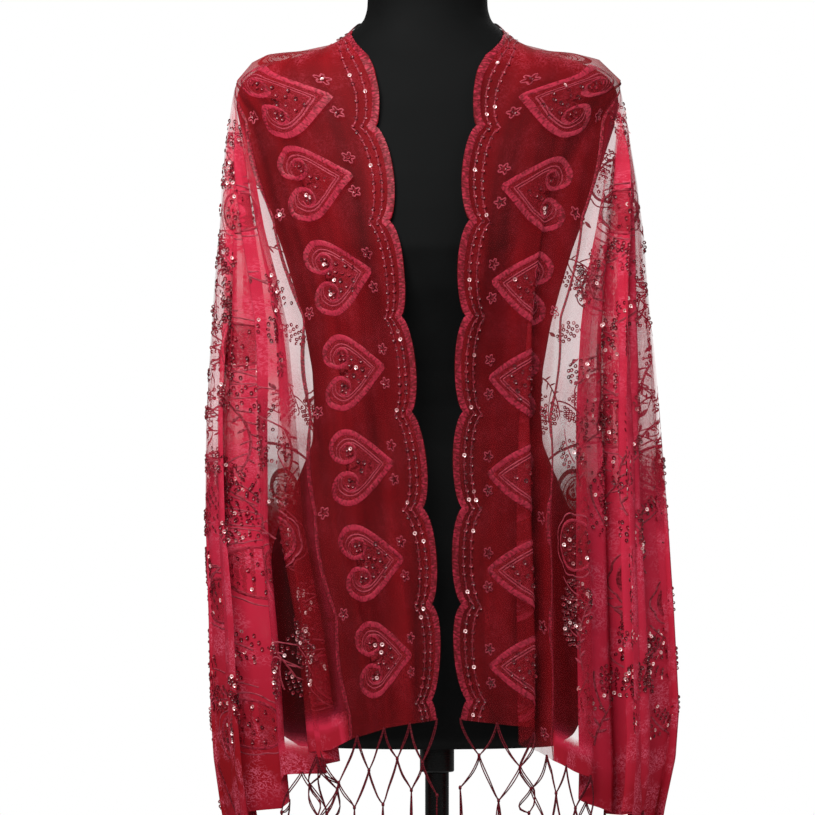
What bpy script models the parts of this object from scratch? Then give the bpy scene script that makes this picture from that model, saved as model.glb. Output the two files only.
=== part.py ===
"""Sequin shawl draped over a limbless dress form: solids in metres, +Z up, front towards -Y.

The shawl is one rectangle. Its flat coordinates are s, the distance along it from the centre back, and w, the
distance across it from the neck edge. T is the point that lies on a shoulder's tip. The band between the neck edge
and T (w < BAND) runs from one front round the neck to the other front. Below T hang the back panel and, on each
side, a quarter of the cloth gathered in folds, whose rays from T are vertical.
"""

import math

import bmesh
import bpy
import numpy as np

MM = 0.001
HALF_LENGTH = 0.90  # centre back to fringe end
WIDTH = 0.68  # neck edge to outer edge
BAND = 0.145  # neck edge to the wave line, which passes over the shoulder tip
NECK_S = 0.14  # centre back to the side of the neck, along the neck edge
TIP_S = 0.21  # centre back to the shoulder tip, along the wave line
WALL = 1.0 * MM
SEAM = 0.3 * MM
SEAM_BACK = {"shawl_left": 0.1 * MM, "shawl_right": 0.1 * MM, "shawl_back": 1.6 * MM}  # drawn back at a parting
SCALLOP_START = 0.05  # centre back to the first notch
SCALLOP_LENGTH = 0.1035  # notch to notch, along both long edges
SCALLOP_DEPTH = 14 * MM
HANG = 0.985  # height lost for each metre of cloth that hangs in a slanting fold
FOLD_FULL = 0.50  # distance below the shoulder tip at which the folds have their whole depth
CLEAR = 3.5 * MM
HANG_GAP = 1.5 * MM  # hem to heading tape
FORM_SIDES = 24

FRONT_STEPS = 15
STEP_POWER = 1.6
NECK_STEPS = 6
RAYS = 52
COLUMNS = 14  # of the band, edge column apart
EDGE_COLUMN = 18 * MM  # deeper than a scallop
TURN_WEIGHT = 0.05  # a radian of turn counts as this much length when rays are placed
FOLD_DEPTH = 1.5
RAY_ROUND = 1.8  # degrees over which a turn is rounded
BAND_ROUND = 7 * MM
EDGE_STEP = 0.0125

STRANDS = 46
STRAND_LENGTH = 0.14
STRAND_WIDTH = 2.4 * MM
STRAND_SWAY = 1.0 * MM
STRAND_APART = 5 * MM
STRAND_CLEAR = 6.0 * MM
HEADING = 7 * MM

NECK_TOP = 1.70
CAP_HEIGHT = 8 * MM
POLE_X = 0.010
POLE_RADIUS = 12.5 * MM
COLLAR_RADIUS = 18 * MM
COLLAR_BOTTOM = 0.832
BASE_RADIUS = 0.15
BASE_HEIGHT = 8 * MM

# The dress form: height, half width, depth to the front, depth to the back (mm)
FORM = (
    (860, 134, 80, 84),
    (870, 153, 96, 100),
    (886, 161, 104, 108),
    (918, 167, 108, 112),
    (979, 166, 112, 115),
    (1039, 165, 112, 113),
    (1066, 163, 111, 109),
    (1094, 155, 109, 103),
    (1121, 144, 106, 95),
    (1149, 132, 102, 87),
    (1177, 121, 98, 80),
    (1215, 119, 97, 77),
    (1253, 121, 101, 79),
    (1299, 129, 112, 85),
    (1337, 139, 122, 91),
    (1380, 152, 128, 96),
    (1426, 169, 121, 100),
    (1455, 178, 115, 102),
    (1482, 187, 108, 102),
    (1512, 197, 100, 100),
    (1531, 201, 95, 97),
    (1543, 200, 91, 94),
    (1553, 196, 87, 91),
    (1560, 190, 84, 88),
    (1567, 181, 80, 85),
    (1573, 168, 77, 82),
    (1578, 150, 74, 79),
    (1583, 127, 71, 76),
    (1589, 106, 68, 73),
    (1594, 94, 66, 70),
    (1600, 84, 64, 68),
    (1607, 76, 62, 66),
    (1618, 66, 60, 64),
    (1632, 63, 58, 62),
    (1700, 62, 57, 61),
)

# The shoulder line on which the band lies: distance from the neck edge, then side and height, left and right (mm)
RIDGE = (
    (0, 68, 1621, 66, 1621),
    (18, 81, 1610, 76, 1610),
    (40, 99, 1597, 100, 1598),
    (74, 132, 1589, 128, 1589),
    (110, 168, 1585, 156, 1586),
    (126, 184, 1577, 180, 1580),
    (145, 200, 1558, 203, 1558),
)

# Sections of the draped cloth: height, then side (towards the wearer's outside) and depth (+ to the back) of the
# scalloped front edge, the wave line, the outermost fold and the back panel's side (mm)
LEFT = (
    (1621, 68, 0, 200, 0, 200, 0, 200, 2),
    (1600, 60, -36, 200, 0, 200, 0, 200, 2),
    (1580, 56, -70, 200, 0, 200, 0, 200, 2),
    (1558, 53, -90, 200, 0, 200, 0, 200, 0),
    (1540, 49, -98, 199, -24, 207, 0, 201, 13),
    (1520, 46, -104, 193, -40, 210, 0, 199, 27),
    (1500, 42, -109, 187, -50, 213, 0, 197, 41),
    (1450, 35, -121, 173, -64, 219, 2, 190, 66),
    (1400, 29, -131, 159, -74, 223, 4, 184, 80),
    (1350, 24, -135, 141, -84, 227, 6, 180, 91),
    (1300, 17, -136, 128, -92, 230, 8, 178, 99),
    (1200, 6, -137, 122, -98, 235, 10, 175, 104),
    (1100, -6, -138, 117, -104, 235, 10, 174, 110),
    (1000, -14, -139, 95, -112, 232, 8, 173, 116),
    (900, -11, -140, 81, -117, 230, 6, 172, 116),
    (850, -9, -140, 74, -118, 227, 4, 168, 112),
    (800, -9, -140, 70, -112, 220, 2, 160, 100),
    (700, -9, -140, 66, -90, 201, 0, 145, 70),
    (600, -9, -140, 64, -70, 180, 0, 135, 50),
)
RIGHT = (
    (1621, 66, 0, 203, 0, 203, 0, 203, 2),
    (1600, 60, -36, 203, 0, 203, 0, 203, 2),
    (1580, 53, -70, 203, 0, 203, 0, 203, 2),
    (1558, 48, -90, 203, 0, 203, 0, 203, 0),
    (1540, 45, -98, 195, -26, 207, 0, 202, 13),
    (1520, 42, -104, 186, -42, 211, 0, 200, 27),
    (1500, 38, -109, 181, -52, 215, 0, 198, 41),
    (1450, 34, -121, 170, -66, 225, 2, 192, 66),
    (1400, 32, -131, 159, -76, 231, 4, 186, 80),
    (1350, 30, -135, 147, -86, 234, 6, 182, 91),
    (1300, 29, -136, 137, -94, 238, 8, 180, 99),
    (1200, 26, -137, 127, -99, 245, 10, 177, 104),
    (1100, 25, -138, 125, -104, 252, 10, 176, 110),
    (1000, 24, -139, 127, -110, 258, 8, 175, 116),
    (900, 31, -140, 128, -114, 263, 6, 174, 116),
    (850, 33, -140, 129, -114, 259, 4, 170, 112),
    (800, 33, -140, 128, -108, 248, 2, 162, 100),
    (700, 33, -140, 124, -90, 231, 0, 150, 70),
    (600, 33, -140, 120, -70, 215, 0, 140, 50),
)

# Folds of the gathered side: angle of the ray in the flat cloth (degrees from the front hem's direction), place
# along the section from the wave line (0) over the outermost fold (0.5) to the back panel (1), and depth (mm)
LEFT_FOLDS = (
    (0, 0, 0),
    (2.5, 0.055, 6),
    (5, 0.095, 2),
    (7, 0.068, -3),
    (9, 0.045, -8),
    (12, 0.09, -11),
    (16, 0.17, -10),
    (20, 0.27, -9),
    (22, 0.285, -5),
    (23.5, 0.258, 0),
    (25.5, 0.235, 5),
    (28, 0.28, 9),
    (32, 0.385, 9),
    (34, 0.41, 5),
    (36, 0.382, -1),
    (38, 0.352, -7),
    (41, 0.4, -11),
    (44, 0.47, -10),
    (48, 0.53, 2),
    (53, 0.585, -9),
    (59, 0.64, 8),
    (65, 0.705, -9),
    (71, 0.77, 9),
    (77, 0.84, -7),
    (84, 0.92, 6),
    (90, 1, 0),
)
RIGHT_FOLDS = (
    (0, 0, 0),
    (6, 0.07, -3),
    (12, 0.15, -8),
    (16, 0.235, -10),
    (18, 0.25, -5),
    (19.5, 0.218, 0),
    (21.5, 0.192, 5),
    (24.5, 0.24, 9),
    (28.5, 0.345, 9),
    (31, 0.38, 5),
    (33, 0.355, -1),
    (35, 0.328, -7),
    (38, 0.375, -11),
    (42, 0.455, -10),
    (46, 0.51, 2),
    (52, 0.565, -9),
    (58, 0.63, 9),
    (64, 0.69, -8),
    (70, 0.76, 9),
    (77, 0.84, -8),
    (84, 0.92, 6),
    (90, 1, 0),
)

# Folds of the front band: distance from the neck edge (mm), place across the band (0 to 1) and depth (mm)
LEFT_BAND = (
    (0, 0, 0),
    (30, 0.22, 3),
    (58, 0.41, -3),
    (88, 0.61, 3),
    (118, 0.80, -3),
    (145, 1, 0),
)
RIGHT_BAND = (
    (0, 0, 0),
    (30, 0.27, 2),
    (62, 0.56, 1),
    (75, 0.72, 5),
    (88, 0.85, 1),
    (97, 0.74, -4),
    (106, 0.64, -10),
    (116, 0.74, -14),
    (126, 0.86, -13),
    (145, 1, 0),
)

# Folds of the back panel: distance from the centre back (mm) and depth (mm), for both sides
BACK_FOLDS = ((0, 3), (38, -4), (76, 5), (112, -4), (150, 5), (182, -4), (210, 0))


def columns_of(table):
    return np.array(table, float).T


FORM_COLUMNS = columns_of(FORM)


def form_section(z, grow=0.0):
    """Half width, front depth and back depth of the form at a height, grown outwards and upwards."""
    at = (z - grow) / MM
    return [np.interp(at, FORM_COLUMNS[0], column) * MM + grow for column in FORM_COLUMNS[1:]]


def clear_of_form(p):
    """Points pushed straight out to where they are clear of the form."""
    half, front, back = form_section(p[..., 2], CLEAR)
    depth = np.where(p[..., 1] < 0, front, back)
    reach = np.sqrt((p[..., 0] / half) ** 2 + (p[..., 1] / depth) ** 2)
    inside = (p[..., 2] < NECK_TOP) & (reach < 1)
    out = p.copy()
    scale = np.where(inside, 1 / np.maximum(reach, 0.05), 1)
    out[..., 0] *= scale
    out[..., 1] *= scale
    return out


def smooth_through(knots, values, at):
    """A Catmull-Rom curve through the values, so that a fold is round where its path turns back."""
    slope = np.gradient(values, knots)
    i = np.clip(np.searchsorted(knots, at, side="right") - 1, 0, len(knots) - 2)
    span = knots[i + 1] - knots[i]
    t = (at - knots[i]) / span
    return (
        (2 * t**3 - 3 * t**2 + 1) * values[i]
        + (t**3 - 2 * t**2 + t) * span * slope[i]
        + (3 * t**2 - 2 * t**3) * values[i + 1]
        + (t**3 - t**2) * span * slope[i + 1]
    )


def rounded(knots, values, at, reach):
    """smooth_through, averaged over a short reach each way, which rounds the tight turns; both ends stay put."""
    total = 0
    for tap in (-2, -1, 0, 1, 2):
        spot = at + tap * reach / 2
        low, high = spot < knots[0], spot > knots[-1]
        mirrored = np.where(low, 2 * knots[0] - spot, np.where(high, 2 * knots[-1] - spot, spot))
        value = smooth_through(knots, values, mirrored)
        value = np.where(low, 2 * values[0] - value, np.where(high, 2 * values[-1] - value, value))
        total = total + (3 - abs(tap)) * value / 9
    return total


def ease(t):
    t = np.clip(t, 0, 1)
    return t * t * (3 - 2 * t)


class Side:
    """One half of the draped cloth; sign is -1 on the viewer's left and +1 on the right."""

    def __init__(self, sign, sections, folds, band, ridge_columns):
        self.sign = sign
        self.sections = columns_of(sections)[:, ::-1]
        self.folds = columns_of(folds)
        self.band = columns_of(band)
        ridge = columns_of(RIDGE)
        self.ridge_w, self.ridge_x, self.ridge_z = ridge[0], ridge[ridge_columns[0]], ridge[ridge_columns[1]]
        self.tip = self.ridge(np.array(BAND))

    def section(self, z, column):
        return np.interp(z / MM, self.sections[0], self.sections[column]) * MM

    def ridge(self, w):
        """The band's point on top of the shoulder."""
        x = np.interp(w / MM, self.ridge_w, self.ridge_x) * MM
        z = np.interp(w / MM, self.ridge_w, self.ridge_z) * MM
        return clear_of_form(np.stack([self.sign * x, np.zeros_like(x), z], -1))

    def hem_height(self, w):
        tip_hem = self.tip[2] - HANG * (HALF_LENGTH - TIP_S)
        return tip_hem + (BAND - w) * 0.11

    def front(self, w, u):
        """The front band at distance w from the neck edge and share u of the way from shoulder to hem."""
        top = self.ridge(w)
        z = top[..., 2] + (self.hem_height(w) - top[..., 2]) * u
        below = np.maximum(self.tip[2] - z, 0)
        ramp = ease(below / FOLD_FULL)
        knots = self.band[0] * MM
        even = w / BAND
        across = even + (rounded(knots, self.band[1], w, BAND_ROUND) - even) * ramp
        depth = rounded(knots, self.band[2], w, BAND_ROUND) * MM * ramp
        edge_x, edge_y = self.section(z, 1), self.section(z, 2)
        wave_x, wave_y = self.section(z, 3), self.section(z, 4)
        x = edge_x + (wave_x - edge_x) * across
        y = edge_y + (wave_y - edge_y) * across - depth
        start_x = self.section(top[..., 2], 1)
        start_x = start_x + (self.section(top[..., 2], 3) - start_x) * even
        fade = np.exp(-(top[..., 2] - z) / 0.05)
        x = x + (np.abs(top[..., 0]) - start_x) * fade
        y = y * ease((top[..., 2] - z) / 0.012) ** 0.5
        return clear_of_form(np.stack([self.sign * x, y, z], -1))

    def reach(self, angle):
        """How far the ray at this angle (degrees) runs from the shoulder tip to the cloth's straight edges."""
        a = np.radians(angle)
        end = (HALF_LENGTH - TIP_S) / np.maximum(np.cos(a), 1e-9)
        edge = (WIDTH - BAND) / np.maximum(np.sin(a), 1e-9)
        return np.minimum(end, edge)

    def gathered(self, angle, r):
        """The gathered side at the ray of this angle, at distance r from the shoulder tip."""
        z = self.tip[2] - HANG * r
        knots = self.folds[0]
        even = np.interp(angle, [0, 46, 90], [0, 0.5, 1])
        ramp = ease(r / FOLD_FULL)
        place = even + (rounded(knots, self.folds[1], angle, RAY_ROUND) - even) * ramp
        depth = rounded(knots, self.folds[2], angle, RAY_ROUND) * MM * FOLD_DEPTH * np.minimum(r / 0.30, 1.0)
        turn = np.pi * place
        wave_x, wave_y = self.section(z, 3), self.section(z, 4)
        out_x, out_y = self.section(z, 5), self.section(z, 6)
        back_x, back_y = self.section(z, 7), self.section(z, 8)
        ahead = place < 0.5
        inner_x = np.where(ahead, wave_x, back_x)
        inner_y = np.where(ahead, wave_y, back_y)
        x = inner_x + (out_x - inner_x) * np.sin(turn)
        y = out_y + (inner_y - out_y) * np.abs(np.cos(turn))
        slope_y = (out_y - inner_y) * np.sin(turn) * np.where(ahead, -1, 1)
        along = np.stack([(out_x - inner_x) * np.cos(turn), slope_y], -1)
        along = along / np.maximum(np.linalg.norm(along, axis=-1, keepdims=True), 1e-9)
        x = x - along[..., 1] * depth
        y = y - along[..., 0] * depth
        return clear_of_form(np.stack([self.sign * x, y, z], -1))

    def nape(self, w, turn):
        """The band behind the neck: turn is 0 on the shoulder line and 1 at the centre back."""
        top = self.ridge(w)
        a = turn * math.pi / 2
        back_y = 0.070 + 0.30 * w - 0.25 * w**2 / BAND
        back_z = 1.613 - 0.98 * w
        x = top[..., 0] * np.cos(a)
        y = back_y * np.sin(a)
        z = top[..., 2] + (back_z - top[..., 2]) * np.sin(a) ** 2
        return clear_of_form(np.stack([x, y, z], -1))

    def back(self, s, v):
        """The back panel at distance s from the centre and share v of the way down from the wave line."""
        r = v * (WIDTH - BAND)
        start = self.nape(np.full_like(s, BAND), 1 - s / TIP_S)
        z = start[..., 2] - HANG * r
        ramp = ease(r / 0.35)
        depth = smooth_through(columns_of(BACK_FOLDS)[0] * MM, columns_of(BACK_FOLDS)[1], s) * MM * ramp
        side_x, side_y = self.section(z, 7), self.section(z, 8)
        out = s / TIP_S
        settled = ease(r / 0.12)
        x = side_x * out
        y = 0.122 + (side_y - 0.122) * out**2 + depth
        x = np.abs(start[..., 0]) + (x - np.abs(start[..., 0])) * settled
        y = start[..., 1] + (y - start[..., 1]) * settled
        out_most = s >= TIP_S - 1e-9
        held = self.gathered(np.full_like(s, 90.0), r)
        p = clear_of_form(np.stack([self.sign * x, y, z], -1))
        return np.where(out_most[..., None], held, p)


LEFT_SIDE = Side(-1, LEFT, LEFT_FOLDS, LEFT_BAND, (1, 2))
RIGHT_SIDE = Side(1, RIGHT, RIGHT_FOLDS, RIGHT_BAND, (3, 4))


def scallop(s):
    """How far the scalloped edge is cut in at s: round lobes between sharp notches."""
    phase = (s - SCALLOP_START) / SCALLOP_LENGTH
    phase = phase - np.floor(phase)
    return SCALLOP_DEPTH * (1 - np.sqrt(np.maximum(0, 1 - (2 * phase - 1) ** 2)))


class Wall:
    """An open surface of shared points, closed into a wall of even thickness."""

    def __init__(self):
        self.points, self.faces, self.index = [], [], {}

    def point(self, p):
        key = tuple(round(float(c) * 1e6) for c in p)
        if key not in self.index:
            self.index[key] = len(self.points)
            self.points.append(tuple(float(c) for c in p))
        return self.index[key]

    def face(self, corners):
        ids = []
        for p in corners:
            i = self.point(p)
            if i not in ids:
                ids.append(i)
        if len(ids) > 2:
            self.faces.append(ids)

    def grid(self, rows, flip=False):
        """Quads over a grid of points, rows by columns."""
        for a, b in zip(rows[:-1], rows[1:]):
            for i in range(len(a) - 1):
                quad = [a[i], a[i + 1], b[i + 1], b[i]]
                self.face(quad[::-1] if flip else quad)


def ease_in_steps(count):
    return (np.arange(count + 1) / count) ** STEP_POWER


def band_rows(side):
    """The front band's points: a row for each step down from the shoulder line."""
    w = band_columns()
    return [side.front(w, np.full_like(w, u)) for u in ease_in_steps(FRONT_STEPS)]


def evenly_turned(fine, p, count):
    """As many parameters as count, closest together where the plan curve through p turns."""
    step = np.diff(p[:, :2], axis=0)
    length = np.linalg.norm(step, axis=1)
    heading = np.unwrap(np.arctan2(step[:, 1], step[:, 0]))
    turn = np.concatenate([[0], np.abs(np.diff(heading))])
    measure = np.concatenate([[0], np.cumsum(length + TURN_WEIGHT * turn)])
    return np.interp(np.linspace(0, measure[-1], count), measure, fine)


def ray_angles(side):
    fine = np.linspace(0, 90, 3001)
    return evenly_turned(fine, side.gathered(fine, np.full_like(fine, FOLD_FULL)), RAYS)


def band_columns():
    """Distances from the neck edge that suit the folds of both fronts, which share the band behind the neck."""
    fine = np.linspace(EDGE_COLUMN, BAND, 801)
    inner = evenly_turned(fine, RIGHT_SIDE.front(fine, np.full_like(fine, 0.8)), COLUMNS)
    return np.concatenate([[0.0], inner])


def gathered_rows(side):
    angles = ray_angles(side)
    reach = side.reach(angles)
    rows = []
    for u in ease_in_steps(FRONT_STEPS):
        r = reach * u
        rows.append(side.gathered(angles, r))
    rows[0] = np.repeat(side.tip[None, :], len(angles), 0)
    return rows


def edge_between(fn, a, b, longest=EDGE_STEP):
    """Extra edge points between two parameters, left out at both ends."""
    count = max(1, int(math.ceil(abs(b - a) / longest)))
    return [fn(a + (b - a) * k / count) for k in range(1, count)]


def front_edge_fn(side):
    """The scalloped neck edge on the front, by s."""

    def at(s):
        cut = scallop(np.array(s))
        u = (s - NECK_S) / (HALF_LENGTH - NECK_S)
        return side.front(np.array(float(cut)), np.array(min(max(u, 0.0), 1.0)))

    return at


def nape_edge_fn(side):
    def at(s):
        cut = scallop(np.array(s))
        return side.nape(np.array(float(cut)), np.array(1 - s / NECK_S))

    return at


def outer_ray_fn(side):
    """The scalloped outer edge on the gathered side, by s in the flat cloth."""

    def at(s):
        w = WIDTH - float(scallop(np.array(s)))
        angle = math.degrees(math.atan2(w - BAND, s - TIP_S))
        return side.gathered(np.array(angle), np.array(math.hypot(w - BAND, s - TIP_S)))

    return at


def outer_back_fn(side):
    def at(s):
        w = WIDTH - float(scallop(np.array(s)))
        return side.back(np.array(float(s)), np.array((w - BAND) / (WIDTH - BAND)))

    return at


def stretch_of(side):
    """The front band and the gathered side of one half, as one surface."""
    wall = Wall()
    flip = side.sign < 0
    edge = front_edge_fn(side)
    steps = ease_in_steps(FRONT_STEPS)
    along = NECK_S + (HALF_LENGTH - NECK_S) * steps
    rows = band_rows(side)
    inner = [row[1:] for row in rows]
    wall.grid(inner, flip)
    for k in range(FRONT_STEPS):
        cell = [rows[k][1], rows[k + 1][1], edge(along[k + 1])]
        cell += edge_between(edge, along[k + 1], along[k]) + [edge(along[k])]
        wall.face(cell[::-1] if flip else cell)
    angles = ray_angles(side)
    rows = gathered_rows(side)
    for k in range(FRONT_STEPS + 1):
        rows[k][0] = band_rows(side)[k][-1]
    wall.grid(rows[:-1], flip)
    outer = outer_ray_fn(side)
    corner = math.degrees(math.atan2(WIDTH - BAND, HALF_LENGTH - TIP_S))
    last = rows[-1]
    for i in range(len(angles) - 1):
        a, b = angles[i], angles[i + 1]
        ends = []
        for angle, p in ((a, last[i]), (b, last[i + 1])):
            if angle <= corner:
                ends.append((None, p))
            else:
                s = TIP_S + (WIDTH - BAND) / math.tan(math.radians(angle))
                ends.append((s, outer(s)))
        cell = [rows[-2][i], rows[-2][i + 1], ends[1][1]]
        if ends[1][0] is not None:
            start = ends[0][0] if ends[0][0] is not None else HALF_LENGTH
            cell += edge_between(outer, ends[1][0], start)
            if ends[0][0] is None:
                cell.append(outer(HALF_LENGTH - 1e-6))
        cell.append(ends[0][1])
        wall.face(cell[::-1] if flip else cell)
    return wall


def back_stretch():
    """The band round the neck and the back panel, as one surface."""
    wall = Wall()
    for side in (LEFT_SIDE, RIGHT_SIDE):
        flip = side.sign > 0
        w = band_columns()
        turns = np.linspace(0, 1, NECK_STEPS + 1)
        rows = [side.nape(w, np.full_like(w, t)) for t in turns]
        wall.grid([row[1:] for row in rows], flip)
        edge = nape_edge_fn(side)
        for k in range(NECK_STEPS):
            a, b = NECK_S * (1 - turns[k]), NECK_S * (1 - turns[k + 1])
            cell = [rows[k][1], rows[k + 1][1], edge(b)] + edge_between(edge, b, a) + [edge(a)]
            wall.face(cell[::-1] if flip else cell)
        s = TIP_S * (1 - turns)
        steps = ease_in_steps(FRONT_STEPS)
        rows = [side.back(s, np.full_like(s, v)) for v in steps]
        rows[0] = side.nape(np.full_like(s, BAND), turns)
        wall.grid(rows[:-1], not flip)
        outer = outer_back_fn(side)
        for i in range(len(s) - 1):
            cell = [rows[-2][i], rows[-2][i + 1], outer(s[i + 1])]
            cell += edge_between(outer, s[i + 1], s[i]) + [outer(s[i])]
            wall.face(cell if flip else cell[::-1])
    return wall


def material(name, colour, roughness=0.6):
    m = bpy.data.materials.new(name)
    m.use_nodes = True
    shader = m.node_tree.nodes["Principled BSDF"]
    shader.inputs["Base Color"].default_value = (*colour, 1)
    shader.inputs["Roughness"].default_value = roughness
    m.diffuse_color = (*colour, 1)
    return m


def new_object(name, points, faces, look):
    mesh = bpy.data.meshes.new(name)
    mesh.from_pydata([tuple(map(float, p)) for p in points], [], faces)
    made = bmesh.new()
    made.from_mesh(mesh)
    bmesh.ops.recalc_face_normals(made, faces=made.faces)
    made.to_mesh(mesh)
    made.free()
    obj = bpy.data.objects.new(name, mesh)
    bpy.context.scene.collection.objects.link(obj)
    mesh.materials.append(look)
    return obj


def triangles(points, faces):
    """The faces as triangles."""
    bm = bmesh.new()
    made = [bm.verts.new(p) for p in points]
    for face in faces:
        bm.faces.new([made[i] for i in face])
    bm.normal_update()
    bmesh.ops.triangulate(bm, faces=bm.faces[:], quad_method="SHORT_EDGE", ngon_method="EAR_CLIP")
    bm.verts.index_update()
    out = [[v.index for v in f.verts] for f in bm.faces]
    bm.free()
    return out


def raw_normals(wall):
    """The wall's triangles, and at each point the sum of their normals."""
    points = np.array(wall.points)
    tris = np.array(triangles(wall.points, wall.faces))
    corner = points[tris]
    face_normal = np.cross(corner[:, 1] - corner[:, 0], corner[:, 2] - corner[:, 0])
    normal = np.zeros_like(points)
    for k in range(3):
        np.add.at(normal, tris[:, k], face_normal)
    return points, tris, normal


def parted_walls(named, look):
    """Closed walls of the surfaces, which share their normals where they meet and are drawn back there."""
    raw = {name: raw_normals(wall) for name, wall in named.items()}
    for name, wall in named.items():
        points, tris, normal = raw[name]
        total = normal.copy()
        seam = np.zeros(len(points), bool)
        for other, wall_b in named.items():
            if other == name:
                continue
            for key, i in wall.index.items():
                if key in wall_b.index:
                    total[i] += raw[other][2][wall_b.index[key]]
                    seam[i] = True
        total /= np.maximum(np.linalg.norm(total, axis=1, keepdims=True), 1e-12)
        centre = points[tris].mean(1)
        inward = np.zeros_like(points)
        for k in range(3):
            np.add.at(inward, tris[:, k], centre - points[tris[:, k]])
        inward -= total * (inward * total).sum(1, keepdims=True)
        inward /= np.maximum(np.linalg.norm(inward, axis=1, keepdims=True), 1e-12)
        placed = points + np.where(seam[:, None], inward * SEAM_BACK[name], 0)
        directed = {(a, b) for t in tris for a, b in ((t[0], t[1]), (t[1], t[2]), (t[2], t[0]))}
        count = len(points)
        faces = [tuple(t) for t in tris] + [tuple(t[::-1] + count) for t in tris]
        for a, b in sorted(directed):
            if (b, a) not in directed:
                faces += [(b, a, a + count), (b, a + count, b + count)]
        both = np.concatenate([placed + total * WALL / 2, placed - total * WALL / 2])
        new_object(name, both, faces, look)


def loft(name, rings, look):
    """A closed body through rings of points, with a flat cap at each end."""
    count = len(rings[0])
    points = np.concatenate(rings)
    faces = []
    for k in range(len(rings) - 1):
        for i in range(count):
            j = (i + 1) % count
            faces.append((k * count + i, k * count + j, (k + 1) * count + j, (k + 1) * count + i))
    faces.append(tuple(range(count))[::-1])
    last = (len(rings) - 1) * count
    faces.append(tuple(last + i for i in range(count)))
    return new_object(name, points, faces, look)


def form_torso(look):
    turn = np.arange(FORM_SIDES) / FORM_SIDES * 2 * math.pi
    rings = []
    for z, half, front, back in FORM:
        depth = np.where(np.sin(turn) < 0, front, back)
        rings.append(np.stack([half * np.cos(turn), depth * np.sin(turn), np.full_like(turn, z)], -1) * MM)
    return loft("form_torso", rings, look)


def turned(name, radius, bottom, top, look, x=POLE_X, y=0.0, sides=32, edge=1 * MM):
    """A round bar or plate with rounded rims."""
    bpy.ops.mesh.primitive_cylinder_add(
        vertices=sides, radius=radius, depth=top - bottom, location=(x, y, (top + bottom) / 2)
    )
    obj = bpy.context.object
    obj.name = obj.data.name = name
    obj.data.materials.append(look)
    bevel = obj.modifiers.new("rim", "BEVEL")
    bevel.width = edge
    bevel.segments = 2
    bevel.limit_method = "ANGLE"
    return obj


def hem_path(side):
    """Points along the fringed hem, from the neck edge's corner to the outer corner."""
    w = band_columns()
    band = side.front(w, np.ones_like(w))
    corner = math.degrees(math.atan2(WIDTH - BAND, HALF_LENGTH - TIP_S))
    angles = ray_angles(side)
    angles = np.append(angles[(angles > 0) & (angles < corner)], corner)
    return np.concatenate([band, side.gathered(angles, side.reach(angles))])


def clear_roots(side, path, along):
    """Places along the hem for the cords, each clear of the others and of any cloth that hangs lower beside it."""
    fine = np.linspace(0, 90, 1201)
    reach = side.reach(fine)
    layers = []
    for z in np.arange(0.70, 0.90, 0.01):
        r = (side.tip[2] - z) / HANG
        lower = fine[reach > r]
        layers.append((z, side.gathered(lower, np.full_like(lower, r))[:, :2]))
    kept, spots = [], []
    for k in range(STRANDS):
        for nudge in (0, 0.003, -0.003, 0.005, -0.005):
            at = along[-1] * (k + 0.5) / STRANDS + nudge
            spot = np.array([np.interp(at, along, path[:, c]) for c in range(3)])
            apart = all(np.linalg.norm(spot[:2] - other[:2]) > STRAND_APART for other in spots)
            free = all(
                len(cloth) == 0 or np.linalg.norm(cloth - spot[:2], axis=1).min() > STRAND_CLEAR
                for z, cloth in layers
                if z < spot[2] - HANG_GAP - HEADING
            )
            if apart and free:
                kept.append(at)
                spots.append(spot)
                break
    return np.array(kept)


def fringe(name, side, look):
    """A heading tape under the hem, from whose underside four-sided cords grow, each apart from the next."""
    path = hem_path(side)
    step = np.linalg.norm(np.diff(path[:, :2], axis=0), axis=1)
    along = np.concatenate([[0], np.cumsum(step)])
    roots = clear_roots(side, path, along)
    near = np.abs(along[:, None] - roots[None, :]).min(1) < 2 * STRAND_WIDTH
    at = np.concatenate([along[~near], roots - STRAND_WIDTH / 2, roots + STRAND_WIDTH / 2])
    at.sort()
    spots = np.stack([np.interp(at, along, path[:, c]) for c in range(3)], -1)
    tangent = np.gradient(spots[:, :2], axis=0)
    tangent /= np.linalg.norm(tangent, axis=1, keepdims=True)
    across = np.stack([-tangent[:, 1], tangent[:, 0]], -1) * WALL / 2
    points, faces = [], []
    for (x, y, z), (dx, dy) in zip(spots, across):
        high, low = z - HANG_GAP, z - HANG_GAP - HEADING
        points += [(x + dx, y + dy, high), (x - dx, y - dy, high), (x - dx, y - dy, low), (x + dx, y + dy, low)]
    last = len(spots) - 1
    faces += [(0, 1, 2, 3), (4 * last + 3, 4 * last + 2, 4 * last + 1, 4 * last)]
    for i in range(last):
        a, b = 4 * i, 4 * i + 4
        faces += [(a, a + 1, b + 1, b), (a + 1, a + 2, b + 2, b + 1), (a + 3, a, b, b + 3)]
        if np.abs(roots - (at[i] + at[i + 1]) / 2).min() > STRAND_WIDTH / 4:
            faces.append((a + 2, a + 3, b + 3, b + 2))
            continue
        ring = [a + 2, a + 3, b + 3, b + 2]
        side_on = tangent[i] * STRAND_SWAY * (1 if i % 2 else -1)
        for share, sway in ((0.45, 1.0), (1.0, 0.0)):
            lower = list(range(len(points), len(points) + 4))
            for root in (a + 2, a + 3, b + 3, b + 2):
                x, y, z = points[root]
                points.append((x + side_on[0] * sway, y + side_on[1] * sway, z - STRAND_LENGTH * share))
            faces += [(ring[k], ring[(k + 1) % 4], lower[(k + 1) % 4], lower[k]) for k in range(4)]
            ring = lower
        faces.append(tuple(ring))
    return new_object(name, points, faces, look)


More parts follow.
